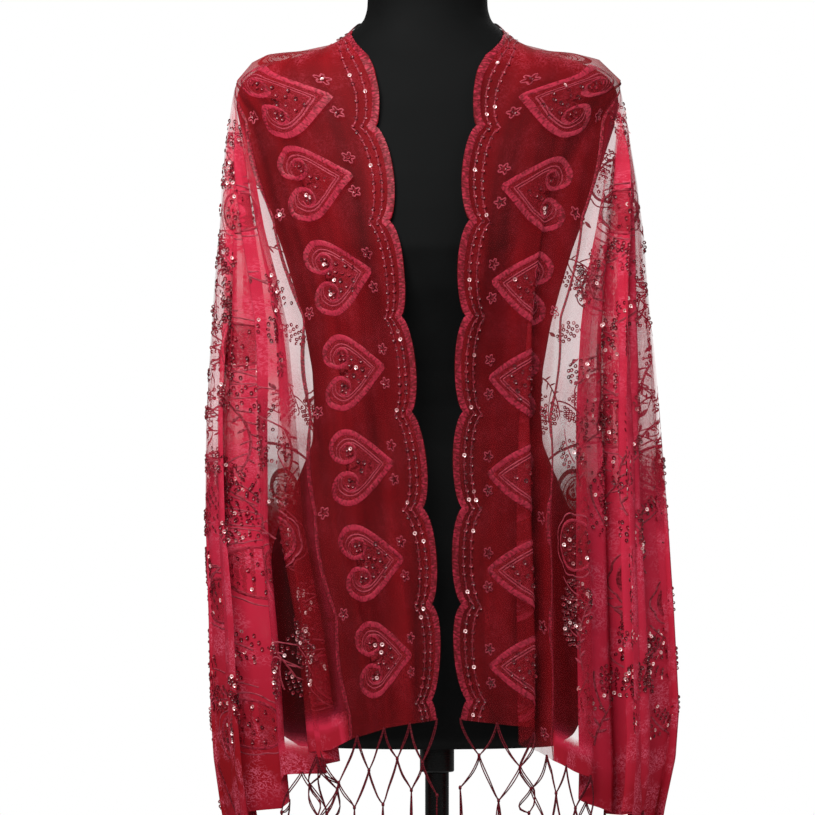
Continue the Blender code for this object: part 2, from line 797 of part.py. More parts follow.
def main():
    for old in list(bpy.data.objects):
        bpy.data.objects.remove(old, do_unlink=True)
    red = material("red_tulle", (0.42, 0.012, 0.03))
    cord = material("fringe_cord", (0.16, 0.01, 0.02), 0.5)
    black = material("black_cover", (0.008, 0.009, 0.009), 0.45)
    steel = material("black_steel", (0.02, 0.02, 0.02), 0.3)
    surfaces = {
        "shawl_left": stretch_of(LEFT_SIDE),
        "shawl_right": stretch_of(RIGHT_SIDE),
        "shawl_back": back_stretch(),
    }
    parted_walls(surfaces, red)
    fringe("fringe_left", LEFT_SIDE, cord)
    fringe("fringe_right", RIGHT_SIDE, cord)
    form_torso(black)
    cap_z = NECK_TOP + SEAM
    turned("form_neck_cap", 0.0595, cap_z, cap_z + CAP_HEIGHT, black, x=0.0, y=0.002, sides=24, edge=2.5 * MM)
    form_bottom = FORM[0][0] * MM
    turned("form_collar", COLLAR_RADIUS, COLLAR_BOTTOM, form_bottom - SEAM, steel, sides=20, edge=1.5 * MM)
    turned("stand_pole", POLE_RADIUS, BASE_HEIGHT + SEAM, COLLAR_BOTTOM - SEAM, steel, sides=20)
    turned("stand_base", BASE_RADIUS, 0.0, BASE_HEIGHT, steel, sides=48, edge=3 * MM)


main()
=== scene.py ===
"""Sequin shawl over a limbless dress form: the visual model, laid out as a Blender add-on.

The shawl is one rectangle of tulle. Its flat coordinates are s, the signed distance along it from the centre back
(negative on the viewer's left), and w, the distance across it from the neck edge. Needlework is drawn in the flat
cloth and laid on the drape with it.
"""

import math

import bpy
import mathutils
import numpy as np
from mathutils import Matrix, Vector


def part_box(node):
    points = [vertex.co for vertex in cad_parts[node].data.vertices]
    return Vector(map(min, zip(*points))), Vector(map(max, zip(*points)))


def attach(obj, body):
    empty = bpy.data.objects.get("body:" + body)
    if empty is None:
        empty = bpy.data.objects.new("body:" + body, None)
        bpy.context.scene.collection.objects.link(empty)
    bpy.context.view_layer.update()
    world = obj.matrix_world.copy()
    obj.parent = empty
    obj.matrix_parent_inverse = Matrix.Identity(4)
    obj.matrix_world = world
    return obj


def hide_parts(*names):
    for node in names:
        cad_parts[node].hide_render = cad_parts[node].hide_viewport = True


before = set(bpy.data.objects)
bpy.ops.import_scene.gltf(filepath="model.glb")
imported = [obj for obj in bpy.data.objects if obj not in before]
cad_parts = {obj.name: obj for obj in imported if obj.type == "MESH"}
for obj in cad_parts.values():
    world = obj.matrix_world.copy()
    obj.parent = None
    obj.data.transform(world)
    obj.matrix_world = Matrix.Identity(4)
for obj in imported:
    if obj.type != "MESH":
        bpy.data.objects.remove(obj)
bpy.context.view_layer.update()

bl_info = {
    "name": "Sequin shawl on a dress form",
    "version": (1, 0, 0),
    "blender": (4, 5, 0),
    "location": "3D View > Sidebar > Shawl",
    "description": "Builds a sheer red sequin shawl, its form and stand, and a plain studio",
    "category": "Object",
}

MM = 0.001
HALF_LENGTH = 0.90
WIDTH = 0.68
BAND = 0.145  # neck edge to the wave line, which passes over the shoulder tip
NECK_S = 0.14  # centre back to the side of the neck
TIP_S = 0.21  # centre back to the shoulder tip
SCALLOP_START = 0.05  # centre back to the first notch
SCALLOP_LENGTH = 0.1035
SCALLOP_DEPTH = 14 * MM
HANG = 0.985  # height lost for each metre of cloth that hangs in a slanting fold
FOLD_FULL = 0.50  # below the shoulder tip, where the folds are whole
FOLD_DEPTH = 1.5  # the folds' depths are the table's by this factor
RAY_ROUND = 1.8  # degrees over which a turn is rounded
BAND_ROUND = 7 * MM
PLEAT_DEPTH = 0.34  # share of the overlap by which a pleat's layers part
PLEAT_SUNK = 8.5 * MM  # the pleated cloth lies this much inside the plain one
OUTLINE_SOFT = 4 * MM  # the pleats are pressed flat from this far inside the outermost fold
CLEAR = 3.5 * MM  # gap from the form to the cloth
NECK_TOP = 1.70
NAPE_Y = 0.070  # the neck edge at the centre back
NAPE_Z = 1.613
BACK_Y = 0.122  # the back panel at the centre back
POLE_X = 0.010

OUTER_BORDER = 0.545  # neck edge to the outer border's closer net
HEART_INSET = 0.083  # long edge to the middle of a heart
HEART_SIZE = 39 * MM
HEART_SHIFT = 12 * MM  # the right front's hearts lie this much nearer to the neck
ROSETTE_INSET = 0.134
FIELD_ROWS = (0.190, 0.248, 0.306, 0.364, 0.422, 0.480)  # neck edge to each row of motifs
FIELD_STEP = 0.086  # from one motif of a row to the next

GROUND_RINGS = 7
SPOKES = 8  # corners of a sequin

SAG_START = 0.33  # below the shoulder, where the hems' sag sets in
SAG_REACH = 0.39  # from there to its full depth
PLAIN_ANGLES = (31, 68)  # the plain outermost folds, in degrees round the shoulder tip
PLAIN_REACH = 0.40

# The form's cover is fuller at the foot of the neck: height there and reach, growth sideways and upwards (mm)
NECK_FOOT, NECK_FOOT_REACH, NECK_FOOT_SIDE, NECK_FOOT_RISE = 1599, 22, 3.3, 2.6

CAMERA = (-0.021, -6.0, 1.2144)
VIEW_WIDTH = 0.856  # what the picture takes in at the form's middle
# Area lights: name, size (m), power (W), place (m) and the point that it aims at (m)
LIGHTS = (
    ("key", 0.9, 31, (-0.5, -1.08, 2.42), (0, 0, 1.5)),
    ("fill", 1.8, 13, (2.3, -0.9, 2.1), (0, 0, 1.3)),
    ("back_fill", 1.8, 16, (0.5, 2.3, 2.3), (0, 0, 1.3)),
)

LOBE_ROWS = 20  # rows of the cloth in each scallop
BAND_COLUMNS = 34
RAYS = 250
BACK_COLUMNS = 36
NAPE_ROWS = 36

# The dress form: height, half width, depth to the front, depth to the back (mm)
FORM = (
    (860, 134, 80, 84),
    (870, 153, 96, 100),
    (886, 161, 104, 108),
    (918, 167, 108, 112),
    (979, 166, 112, 115),
    (1039, 165, 112, 113),
    (1066, 163, 111, 109),
    (1094, 155, 109, 103),
    (1121, 144, 106, 95),
    (1149, 132, 102, 87),
    (1177, 121, 98, 80),
    (1215, 119, 97, 77),
    (1253, 121, 101, 79),
    (1299, 129, 112, 85),
    (1337, 139, 122, 91),
    (1380, 152, 128, 96),
    (1426, 169, 121, 100),
    (1455, 178, 115, 102),
    (1482, 187, 108, 102),
    (1512, 197, 100, 100),
    (1531, 201, 95, 97),
    (1543, 200, 91, 94),
    (1553, 196, 87, 91),
    (1560, 190, 84, 88),
    (1567, 181, 80, 85),
    (1573, 168, 77, 82),
    (1578, 150, 74, 79),
    (1583, 127, 71, 76),
    (1589, 106, 68, 73),
    (1594, 94, 66, 70),
    (1600, 84, 64, 68),
    (1607, 76, 62, 66),
    (1618, 66, 60, 64),
    (1632, 63, 58, 62),
    (1700, 62, 57, 61),
)

# The shoulder line on which the band lies: distance from the neck edge, then side and height, left and right (mm)
RIDGE = (
    (0, 68, 1620, 66, 1620),
    (18, 81, 1607, 77, 1608),
    (40, 99, 1596, 100, 1596),
    (74, 132, 1589, 128, 1589),
    (110, 168, 1585, 156, 1586),
    (126, 184, 1577, 180, 1580),
    (145, 200, 1558, 203, 1558),
)

# Sections of the draped cloth: height, then side (towards the wearer's outside) and depth (+ to the back) of the
# scalloped front edge, the wave line, the outermost fold and the back panel's side (mm)
LEFT = (
    (1621, 68, 0, 200, 0, 200, 0, 200, 2),
    (1600, 60, -36, 200, 0, 200, 0, 200, 2),
    (1580, 56, -70, 200, 0, 200, 0, 200, 2),
    (1558, 53, -90, 200, 0, 200, 0, 200, 0),
    (1540, 49, -98, 199, -24, 207, 0, 201, 13),
    (1520, 46, -104, 193, -40, 210, 0, 199, 27),
    (1500, 42, -109, 187, -50, 213, 0, 197, 41),
    (1450, 35, -121, 173, -64, 219, 2, 190, 66),
    (1400, 29, -131, 159, -74, 223, 4, 184, 80),
    (1350, 24, -135, 141, -84, 227, 6, 180, 91),
    (1300, 17, -136, 128, -92, 230, 8, 178, 99),
    (1200, 6, -137, 122, -98, 235, 10, 175, 104),
    (1100, -6, -138, 117, -104, 235, 10, 174, 110),
    (1000, -14, -139, 95, -112, 232, 8, 173, 116),
    (900, -11, -140, 81, -117, 230, 6, 172, 116),
    (850, -9, -140, 74, -118, 227, 4, 168, 112),
    (800, -9, -140, 70, -112, 220, 2, 160, 100),
    (700, -9, -140, 66, -90, 201, 0, 145, 70),
    (600, -9, -140, 64, -70, 180, 0, 135, 50),
)
RIGHT = (
    (1621, 66, 0, 203, 0, 203, 0, 203, 2),
    (1600, 60, -36, 203, 0, 203, 0, 203, 2),
    (1580, 53, -70, 203, 0, 203, 0, 203, 2),
    (1558, 48, -90, 203, 0, 203, 0, 203, 0),
    (1540, 45, -98, 195, -26, 207, 0, 202, 13),
    (1520, 42, -104, 186, -42, 211, 0, 200, 27),
    (1500, 38, -109, 181, -52, 215, 0, 198, 41),
    (1450, 34, -121, 170, -66, 225, 2, 192, 66),
    (1400, 32, -131, 159, -76, 231, 4, 186, 80),
    (1350, 30, -135, 147, -86, 234, 6, 182, 91),
    (1300, 29, -136, 137, -94, 238, 8, 180, 99),
    (1200, 26, -137, 127, -99, 245, 10, 177, 104),
    (1100, 25, -138, 125, -104, 252, 10, 176, 110),
    (1000, 24, -139, 127, -110, 258, 8, 175, 116),
    (900, 31, -140, 128, -114, 263, 6, 174, 116),
    (850, 33, -140, 129, -114, 259, 4, 170, 112),
    (800, 33, -140, 128, -108, 248, 2, 162, 100),
    (700, 33, -140, 124, -90, 231, 0, 150, 70),
    (600, 33, -140, 120, -70, 215, 0, 140, 50),
)

# Folds of the gathered side: angle of the ray in the flat cloth (degrees from the front hem's direction), place
# along the section from the wave line (0) over the outermost fold (0.5) to the back panel (1), and depth (mm)
LEFT_FOLDS = (
    (0, 0, 0),
    (2.5, 0.055, 6),
    (5, 0.095, 2),
    (7, 0.068, -3),
    (9, 0.045, -8),
    (12, 0.09, -11),
    (16, 0.17, -10),
    (20, 0.27, -9),
    (22, 0.285, -5),
    (23.5, 0.258, 0),
    (25.5, 0.235, 5),
    (28, 0.28, 9),
    (32, 0.385, 9),
    (34, 0.41, 5),
    (36, 0.382, -1),
    (38, 0.352, -7),
    (41, 0.4, -11),
    (44, 0.47, -10),
    (48, 0.53, 2),
    (53, 0.585, -9),
    (59, 0.64, 8),
    (65, 0.705, -9),
    (71, 0.77, 9),
    (77, 0.84, -7),
    (84, 0.92, 6),
    (90, 1, 0),
)
RIGHT_FOLDS = (
    (0, 0, 0),
    (6, 0.07, -3),
    (12, 0.15, -8),
    (16, 0.235, -10),
    (18, 0.25, -5),
    (19.5, 0.218, 0),
    (21.5, 0.192, 5),
    (24.5, 0.24, 9),
    (28.5, 0.345, 9),
    (31, 0.38, 5),
    (33, 0.355, -1),
    (35, 0.328, -7),
    (38, 0.375, -11),
    (42, 0.455, -10),
    (46, 0.51, 2),
    (52, 0.565, -9),
    (58, 0.63, 9),
    (64, 0.69, -8),
    (70, 0.76, 9),
    (77, 0.84, -8),
    (84, 0.92, 6),
    (90, 1, 0),
)

# Folds of the front band: distance from the neck edge (mm), place across the band (0 to 1) and depth (mm)
LEFT_BAND = (
    (0, 0, 0),
    (30, 0.22, 3),
    (58, 0.41, -3),
    (88, 0.61, 3),
    (118, 0.80, -3),
    (145, 1, 0),
)
RIGHT_BAND = (
    (0, 0, 0),
    (30, 0.27, 2),
    (62, 0.56, 1),
    (75, 0.72, 5),
    (88, 0.85, 1),
    (97, 0.74, -4),
    (106, 0.64, -10),
    (116, 0.74, -14),
    (126, 0.86, -13),
    (145, 1, 0),
)

# Folds of the back panel: distance from the centre back (mm) and depth (mm), for both sides
BACK_FOLDS = ((0, 3), (38, -4), (76, 5), (112, -4), (150, 5), (182, -4), (210, 0))

# Creases of the tulle: waves for each metre across the hang, how far each wanders, and height (mm)
CREASES = (
    (8, 1.2, 1.5),
    (17, 1.9, 1.1),
    (29, 2.7, 1.0),
    (47, 3.6, 0.6),
)

# Pleats that fold the gathered sides over: the ray's angle (degrees), half width, overlap (mm), and the distance
# below the shoulder tip at which it is whole (m)
LEFT_PLEATS = (
    (6, 1.7, 8, 0.10),
    (11.5, 1.8, 10, 0.34),
    (16.5, 2.1, 11, 0.10),
    (22, 1.9, 11, 0.28),
    (28, 2.0, 9, 0.45),
    (39, 2.3, 10, 0.30),
    (50, 2.5, 12, 0.26),
    (59, 2.5, 11, 0.20),
    (68, 2.5, 12, 0.24),
    (77, 2.5, 11, 0.20),
    (85, 1.8, 7, 0.15),
)
RIGHT_PLEATS = (
    (8.5, 1.8, 9, 0.24),
    (13.5, 1.8, 9, 0.34),
    (20, 2.2, 12, 0.10),
    (25, 1.9, 10, 0.26),
    (30.5, 2.0, 9, 0.34),
    (38, 2.3, 9, 0.40),
    (49, 2.5, 12, 0.26),
    (57, 2.5, 11, 0.20),
    (66, 2.5, 12, 0.24),
    (76, 2.5, 12, 0.20),
    (85, 1.8, 7, 0.15),
)
# Half a heart, from its tip round the lobe into the spiral: share along the edge and away from it, and thread width
HEART = (
    (0.00, -1.00, 1.0),
    (0.30, -0.66, 1.0),
    (0.64, -0.26, 1.0),
    (0.90, 0.18, 1.0),
    (0.93, 0.58, 1.0),
    (0.70, 0.90, 1.0),
    (0.36, 0.88, 0.9),
    (0.15, 0.56, 0.8),
    (0.24, 0.22, 0.7),
    (0.52, 0.16, 0.6),
    (0.64, 0.42, 0.5),
    (0.46, 0.56, 0.4),
)

# Hearts on the front of the band, counted from the centre back: how they lean, and how far down their tips move (m)
HEART_LEANS = {1: (0.35, 0.025), 2: (0.35, 0.017), 3: (0.37, 0.0), 4: (0.30, 0.0), 5: (0.22, 0.0), 6: (0.14, 0.0),
               7: (0.06, 0.0)}

# How far the hems sag: distance outside the wave line (mm, negative) or angle of the ray (degrees), and drop (mm)
LEFT_HEM = ((-60, 0), (0, 5), (2, 16), (8, 20), (12, 28), (15, 20), (16.5, 34), (18, 46), (21, 38), (25, 16), (29, 0))
RIGHT_HEM = ((-62, 0), (-42, 14), (0, 28), (3, 34), (7, 42), (9, 58), (12, 68), (16, 60), (20, 40), (24, 20), (29, 0))

# Small clusters of sequins on the plain outermost folds: the ray's angle (degrees) and length (m)
OUTER_CLUSTERS = ((33, 0.145), (35, 0.185), (34, 0.225), (36, 0.27), (34, 0.32), (35, 0.36), (47, 0.20), (50, 0.29),
                  (58, 0.17), (60, 0.25), (57, 0.34), (65, 0.30))


def columns_of(table):
    """A table's columns, each an array."""
    return np.array(table, float).T


FORM_COLUMNS = columns_of(FORM)


def form_section(z, grow=0.0):
    """Half width, front depth and back depth of the form at a height, grown outwards and upwards."""
    at = (z - grow) / MM
    return [np.interp(at, FORM_COLUMNS[0], column) * MM + grow for column in FORM_COLUMNS[1:]]


def clear_of_form(p):
    """Points pushed straight out to where they are clear of the form."""
    half, front, back = form_section(p[..., 2], CLEAR)
    depth = np.where(p[..., 1] < 0, front, back)
    reach = np.sqrt((p[..., 0] / half) ** 2 + (p[..., 1] / depth) ** 2)
    inside = (p[..., 2] < NECK_TOP) & (reach < 1)
    out = p.copy()
    scale = np.where(inside, 1 / np.maximum(reach, 0.05), 1)
    out[..., 0] *= scale
    out[..., 1] *= scale
    return out


def smooth_through(knots, values, at):
    """A Catmull-Rom curve through the values, so that a fold is round where its path turns back."""
    slope = np.gradient(values, knots)
    i = np.clip(np.searchsorted(knots, at, side="right") - 1, 0, len(knots) - 2)
    span = knots[i + 1] - knots[i]
    t = (at - knots[i]) / span
    return (
        (2 * t**3 - 3 * t**2 + 1) * values[i]
        + (t**3 - 2 * t**2 + t) * span * slope[i]
        + (3 * t**2 - 2 * t**3) * values[i + 1]
        + (t**3 - t**2) * span * slope[i + 1]
    )


def rounded(knots, values, at, reach):
    """smooth_through, averaged over a short reach each way, which rounds the tight turns; both ends stay put."""
    total = 0
    for tap in (-2, -1, 0, 1, 2):
        spot = at + tap * reach / 2
        low, high = spot < knots[0], spot > knots[-1]
        mirrored = np.where(low, 2 * knots[0] - spot, np.where(high, 2 * knots[-1] - spot, spot))
        value = smooth_through(knots, values, mirrored)
        value = np.where(low, 2 * values[0] - value, np.where(high, 2 * values[-1] - value, value))
        total = total + (3 - abs(tap)) * value / 9
    return total


def ease(t):
    """A smooth step from 0 to 1."""
    t = np.clip(t, 0, 1)
    return t * t * (3 - 2 * t)


def unit(vectors):
    """The vectors at length 1."""
    return vectors / np.maximum(np.linalg.norm(vectors, axis=-1, keepdims=True), 1e-12)


def lengths(points):
    """The distance along a line from its start to each of its points."""
    return np.concatenate([[0], np.cumsum(np.linalg.norm(np.diff(points, axis=0), axis=1))])


def ridge_at(w):
    """Distance from the centre back to the shoulder line, at each distance from the neck edge."""
    return NECK_S + (TIP_S - NECK_S) * np.clip(w / BAND, 0, 1)


def ray(s, w):
    """The angle (degrees) and length of the ray from the shoulder tip to flat points."""
    along, down = np.maximum(np.abs(s) - TIP_S, 0), np.maximum(w - BAND, 0)
    return np.degrees(np.arctan2(down, along)), np.hypot(down, along)


class Side:
    """One half of the draped cloth; sign is -1 on the viewer's left and +1 on the right."""

    def __init__(self, sign, sections, folds, band, ridge_columns):
        self.sign = sign
        self.sections = columns_of(sections)[:, ::-1]
        self.folds = columns_of(folds)
        self.band = columns_of(band)
        ridge = columns_of(RIDGE)
        self.ridge_w, self.ridge_x, self.ridge_z = ridge[0], ridge[ridge_columns[0]], ridge[ridge_columns[1]]
        self.tip = self.ridge(np.array(BAND))

    def section(self, z, column):
        """One column of the sections' table at a height, in metres."""
        return np.interp(z / MM, self.sections[0], self.sections[column]) * MM

    def ridge(self, w):
        """The band's point on top of the shoulder."""
        x = np.interp(w / MM, self.ridge_w, self.ridge_x) * MM
        z = np.interp(w / MM, self.ridge_w, self.ridge_z) * MM
        return clear_of_form(np.stack([self.sign * x, np.zeros_like(x), z], -1))

    def hem_height(self, w):
        """Height of the short hem, which rises a little towards the open front."""
        tip_hem = self.tip[2] - HANG * (HALF_LENGTH - TIP_S)
        return tip_hem + (BAND - w) * 0.11

    def front(self, w, u):
        """The front band at distance w from the neck edge and share u of the way from shoulder to hem."""
        top = self.ridge(w)
        z = top[..., 2] + (self.hem_height(w) - top[..., 2]) * u
        below = np.maximum(self.tip[2] - z, 0)
        ramp = ease(below / FOLD_FULL)
        knots = self.band[0] * MM
        even = w / BAND
        across = even + (rounded(knots, self.band[1], w, BAND_ROUND) - even) * ramp
        depth = rounded(knots, self.band[2], w, BAND_ROUND) * MM * ramp
        edge_x, edge_y = self.section(z, 1), self.section(z, 2)
        wave_x, wave_y = self.section(z, 3), self.section(z, 4)
        # between the scalloped edge and the wave line, and near the top drawn towards the shoulder line
        x = edge_x + (wave_x - edge_x) * across
        y = edge_y + (wave_y - edge_y) * across - depth
        start_x = self.section(top[..., 2], 1)
        start_x = start_x + (self.section(top[..., 2], 3) - start_x) * even
        fade = np.exp(-(top[..., 2] - z) / 0.05)
        x = x + (np.abs(top[..., 0]) - start_x) * fade
        y = y * ease((top[..., 2] - z) / 0.012) ** 0.5
        return clear_of_form(np.stack([self.sign * x, y, z], -1))

    def gathered(self, angle, r):
        """The gathered side at the ray of this angle, at distance r from the shoulder tip."""
        z = self.tip[2] - HANG * r
        knots = self.folds[0]
        even = np.interp(angle, [0, 46, 90], [0, 0.5, 1])
        ramp = ease(r / FOLD_FULL)
        place = even + (rounded(knots, self.folds[1], angle, RAY_ROUND) - even) * ramp
        depth = rounded(knots, self.folds[2], angle, RAY_ROUND) * MM * FOLD_DEPTH * np.minimum(r / 0.30, 1.0)
        # from the wave line (or, behind, the back panel's side) round the outermost fold, moved out by the depth
        turn = np.pi * place
        wave_x, wave_y = self.section(z, 3), self.section(z, 4)
        out_x, out_y = self.section(z, 5), self.section(z, 6)
        back_x, back_y = self.section(z, 7), self.section(z, 8)
        ahead = place < 0.5
        inner_x = np.where(ahead, wave_x, back_x)
        inner_y = np.where(ahead, wave_y, back_y)
        x = inner_x + (out_x - inner_x) * np.sin(turn)
        y = out_y + (inner_y - out_y) * np.abs(np.cos(turn))
        slope_y = (out_y - inner_y) * np.sin(turn) * np.where(ahead, -1, 1)
        along = unit(np.stack([(out_x - inner_x) * np.cos(turn), slope_y], -1))
        x = x - along[..., 1] * depth
        y = y - along[..., 0] * depth
        return clear_of_form(np.stack([self.sign * x, y, z], -1))

    def nape(self, w, turn):
        """The band behind the neck: turn is 0 on the shoulder line and 1 at the centre back."""
        top = self.ridge(w)
        a = turn * math.pi / 2
        back_y = NAPE_Y + 0.30 * w - 0.25 * w**2 / BAND
        back_z = NAPE_Z - 0.98 * w
        x = top[..., 0] * np.cos(a)
        y = back_y * np.sin(a)
        z = top[..., 2] + (back_z - top[..., 2]) * np.sin(a) ** 2
        return clear_of_form(np.stack([x, y, z], -1))

    def back(self, s, v):
        """The back panel at distance s from the centre and share v of the way down from the wave line."""
        r = v * (WIDTH - BAND)
        start = self.nape(np.full_like(s, BAND), 1 - s / TIP_S)
        z = start[..., 2] - HANG * r
        ramp = ease(r / 0.35)
        depth = smooth_through(columns_of(BACK_FOLDS)[0] * MM, columns_of(BACK_FOLDS)[1], s) * MM * ramp
        side_x, side_y = self.section(z, 7), self.section(z, 8)
        out = s / TIP_S
        settled = ease(r / 0.12)
        x = side_x * out
        y = BACK_Y + (side_y - BACK_Y) * out**2 + depth
        x = np.abs(start[..., 0]) + (x - np.abs(start[..., 0])) * settled
        y = start[..., 1] + (y - start[..., 1]) * settled
        out_most = s >= TIP_S - 1e-9
        held = self.gathered(np.full_like(s, 90.0), r)
        p = clear_of_form(np.stack([self.sign * x, y, z], -1))
        return np.where(out_most[..., None], held, p)


LEFT_SIDE = Side(-1, LEFT, LEFT_FOLDS, LEFT_BAND, (1, 2))
RIGHT_SIDE = Side(1, RIGHT, RIGHT_FOLDS, RIGHT_BAND, (3, 4))


def scallop(s):
    """How far the scalloped edge is cut in at s: round lobes between sharp notches."""
    phase = (s - SCALLOP_START) / SCALLOP_LENGTH
    phase = phase - np.floor(phase)
    return SCALLOP_DEPTH * (1 - np.sqrt(np.maximum(0, 1 - (2 * phase - 1) ** 2)))


def on_plain(angle, r):
    """Whether points lie on the plain outermost folds."""
    return (angle > PLAIN_ANGLES[0]) & (angle < PLAIN_ANGLES[1]) & (r < PLAIN_REACH)


def crease(s, w):
    """Height of the tulle's fine creases, which run down with the hang of the cloth."""
    a = np.abs(s)
    angle = np.arctan2(np.maximum(w - BAND, 0), np.maximum(a - TIP_S, 1e-9))
    across = np.where(w <= BAND, w, BAND + 0.45 * angle + np.maximum(TIP_S - a, 0))
    front = np.maximum(a - ridge_at(w), 0)
    down = np.where(w <= BAND, front, np.hypot(np.maximum(a - TIP_S, 0), w - BAND))
    height = 0
    for k, (waves, wander, size) in enumerate(CREASES):
        phase = 2 * np.pi * waves * across + wander * np.sin(down * (5.3 + k) + np.sign(s) * (1.1 + k))
        height = height + size * MM * np.sin(phase) * (0.7 + 0.3 * np.sin(down * 9 + across * (11 + 4 * k)))
    return height * ease(down / 0.16) * ease(down / 0.5 + 0.35)


def drape(s, w):
    """The draped cloth's point for each flat point."""
    s, w = np.broadcast_arrays(np.asarray(s, float), np.asarray(w, float))
    out = np.zeros(s.shape + (3,))
    for side in (LEFT_SIDE, RIGHT_SIDE):
        mine = (s < 0) == (side.sign < 0)
        a = np.minimum(np.abs(s), HALF_LENGTH)
        ridge_s = ridge_at(w)
        band = mine & (w <= BAND)
        fore = band & (a >= ridge_s)
        if fore.any():
            u = (a[fore] - ridge_s[fore]) / (HALF_LENGTH - ridge_s[fore])
            out[fore] = side.front(w[fore], u)
        nape = band & ~fore
        if nape.any():
            out[nape] = side.nape(w[nape], 1 - a[nape] / ridge_s[nape])
        hanging = mine & (w > BAND) & (a >= TIP_S)
        if hanging.any():
            along, down = a[hanging] - TIP_S, w[hanging] - BAND
            out[hanging] = side.gathered(np.degrees(np.arctan2(down, along)), np.hypot(along, down))
        back = mine & (w > BAND) & ~hanging
        if back.any():
            out[back] = side.back(a[back], (w[back] - BAND) / (WIDTH - BAND))
    return out


def pleat(s, w):
    """How far each pleat shifts the cloth, and the flat direction round the shoulder tip that it shifts in."""
    angle, r = ray(s, w)
    shift = np.zeros(r.shape)
    for sign, table in ((-1, LEFT_PLEATS), (1, RIGHT_PLEATS)):
        for middle, half, reach, full in table:
            d = (angle - middle) / half
            grown = ease((r / full - 0.15) / 0.85) * (0.75 + 0.7 * r)
            shift -= np.where(np.sign(s) == sign, 2.33 * reach * MM * d * np.exp(-d * d) * grown, 0)
    shift = np.where((w > BAND) & (np.abs(s) > TIP_S), shift, 0)
    turn = np.radians(angle)
    return shift, -np.sign(s) * np.sin(turn), np.cos(turn)


def hem_drop(s, w):
    """How far the cloth sags towards its short hems, where the photo shows them hang lowest."""
    angle, r = ray(s, w)
    on_band = w <= BAND
    across = np.where(on_band, (w - BAND) / MM, angle)
    drops = [np.interp(across, *columns_of(table)) for table in (LEFT_HEM, RIGHT_HEM)]
    down = np.where(on_band, np.maximum(np.abs(s) - ridge_at(w), 0), r)
    return np.where(s < 0, *drops) * MM * ease((down - SAG_START) / SAG_REACH)


def gathered_thin(s, w):
    """Where the gathered tulle is at its sheerest: the outermost folds, and one pleat over the left hip."""
    angle, r = ray(s, w)
    outer = ease((angle - 29) / 3) * ease((74 - angle) / 6) * ease((0.44 - r) / 0.07)
    hip = 0.9 * ease((angle - 11) / 1.5) * ease((16.5 - angle) / 1.5) * ease((r - 0.32) / 0.08) * (s < 0)
    return np.where(w > BAND, np.maximum(outer, hip), 0.0)


def gathered_close(s, w):
    """How closely the tulle is gathered: 0 for a plain layer, 1 and more for dense strips, -1 in the form's shade,
    which is painted into its colour; above 1.75 its colour gets painted shade too.
    """
    angle, r = ray(s, w)
    left = s < 0
    # a dense strip beside the wave line, parted by a sheer gap that narrows away from the shoulder tip
    start = np.where(left, 5.0 + 3.5 * ease((r - 0.15) / 0.1), 8.0)
    strip = 1.15 * ease((angle - start) / 1.5) * ease((29 - angle) / 3)
    strip = strip * ease((r - np.where(~left & (angle < 14), 0.12, 0.02)) / 0.08)
    middle, half = np.where(left, 12.3, 13.9), np.where(left, 2.3 * (1 - r / 0.21), 1.7 * (1 - r / 0.35))
    strip = strip * (1 - ease((half - np.abs(angle - middle)) / 0.6 + 0.5) * (half > 0))
    # from below the waist all folds are dense, and most of all towards the hem, where past 1.75 they also get painted
    # shade
    outer = ease((angle - 27) / 5) * ease((75 - angle) / 6)
    low = 0.9 * ease((r - 0.28 - 0.11 * outer) / 0.16)
    lower = 0.9 * ease((r - 0.42) / 0.09) + np.where(left, 0.7, 0.3) * ease((r - 0.52) / 0.24)
    low = low + lower * ease((angle - np.where(left, 15, 8)) / 2)
    # over the hip the black form's shade is painted on the cloth, and along the short hem runs a lacy rim, also
    # darkened with painted shade
    over_hip = ease((np.where(left, 16.5, 9) - angle) / 2) * ease((r - 0.32) / 0.1)
    over_hip = over_hip * np.where(angle > 11, ease((0.69 - r) / 0.04), 1)
    close = np.maximum(strip, low) * (1 - over_hip) - over_hip
    close = close + (2.2 - close) * ease((np.abs(s) - HALF_LENGTH + 0.045) / 0.03)
    # the band is close only on top of the shoulder
    return np.where(w > BAND, close, 0.6 * np.exp(-(((np.abs(s) - ridge_at(w)) / 0.035) ** 2)))


def laid(s, w, lift=0.0):
    """Points laid on the pleated and creased cloth, at a height above its outer face."""
    s, w = np.broadcast_arrays(np.asarray(s, float), np.asarray(w, float))
    step = 0.5 * MM
    p = drape(s, w)
    along = drape(np.where(s > HALF_LENGTH - step, s - step, s + step), w) - p
    along = np.where((s > HALF_LENGTH - step)[..., None], -along, along)
    across = drape(s, w + step) - p
    normal = unit(np.cross(along, across))
    shift, part_s, part_w = pleat(s, w)
    tangent = unit(along * part_s[..., None] + across * part_w[..., None])
    sunk = PLEAT_SUNK * (part_w < 1) * ease(np.abs(s) / TIP_S - 0.3) * ease((w - BAND) / 0.12)
    out = p + normal * (crease(s, w) + PLEAT_DEPTH * shift + lift - sunk)[..., None] + tangent * shift[..., None]
    out[..., 2] -= hem_drop(s, w)
    # what reaches past the outermost fold is pressed in
    for side in (LEFT_SIDE, RIGHT_SIDE):
        beyond = side.sign * out[..., 0] - side.section(out[..., 2], 5)
        beyond = np.where((side.sign * s > TIP_S) & (w > BAND), np.maximum(beyond + OUTLINE_SOFT, 0), 0)
        out[..., 0] -= side.sign * 0.7 * beyond
    return clear_of_form(out), normal


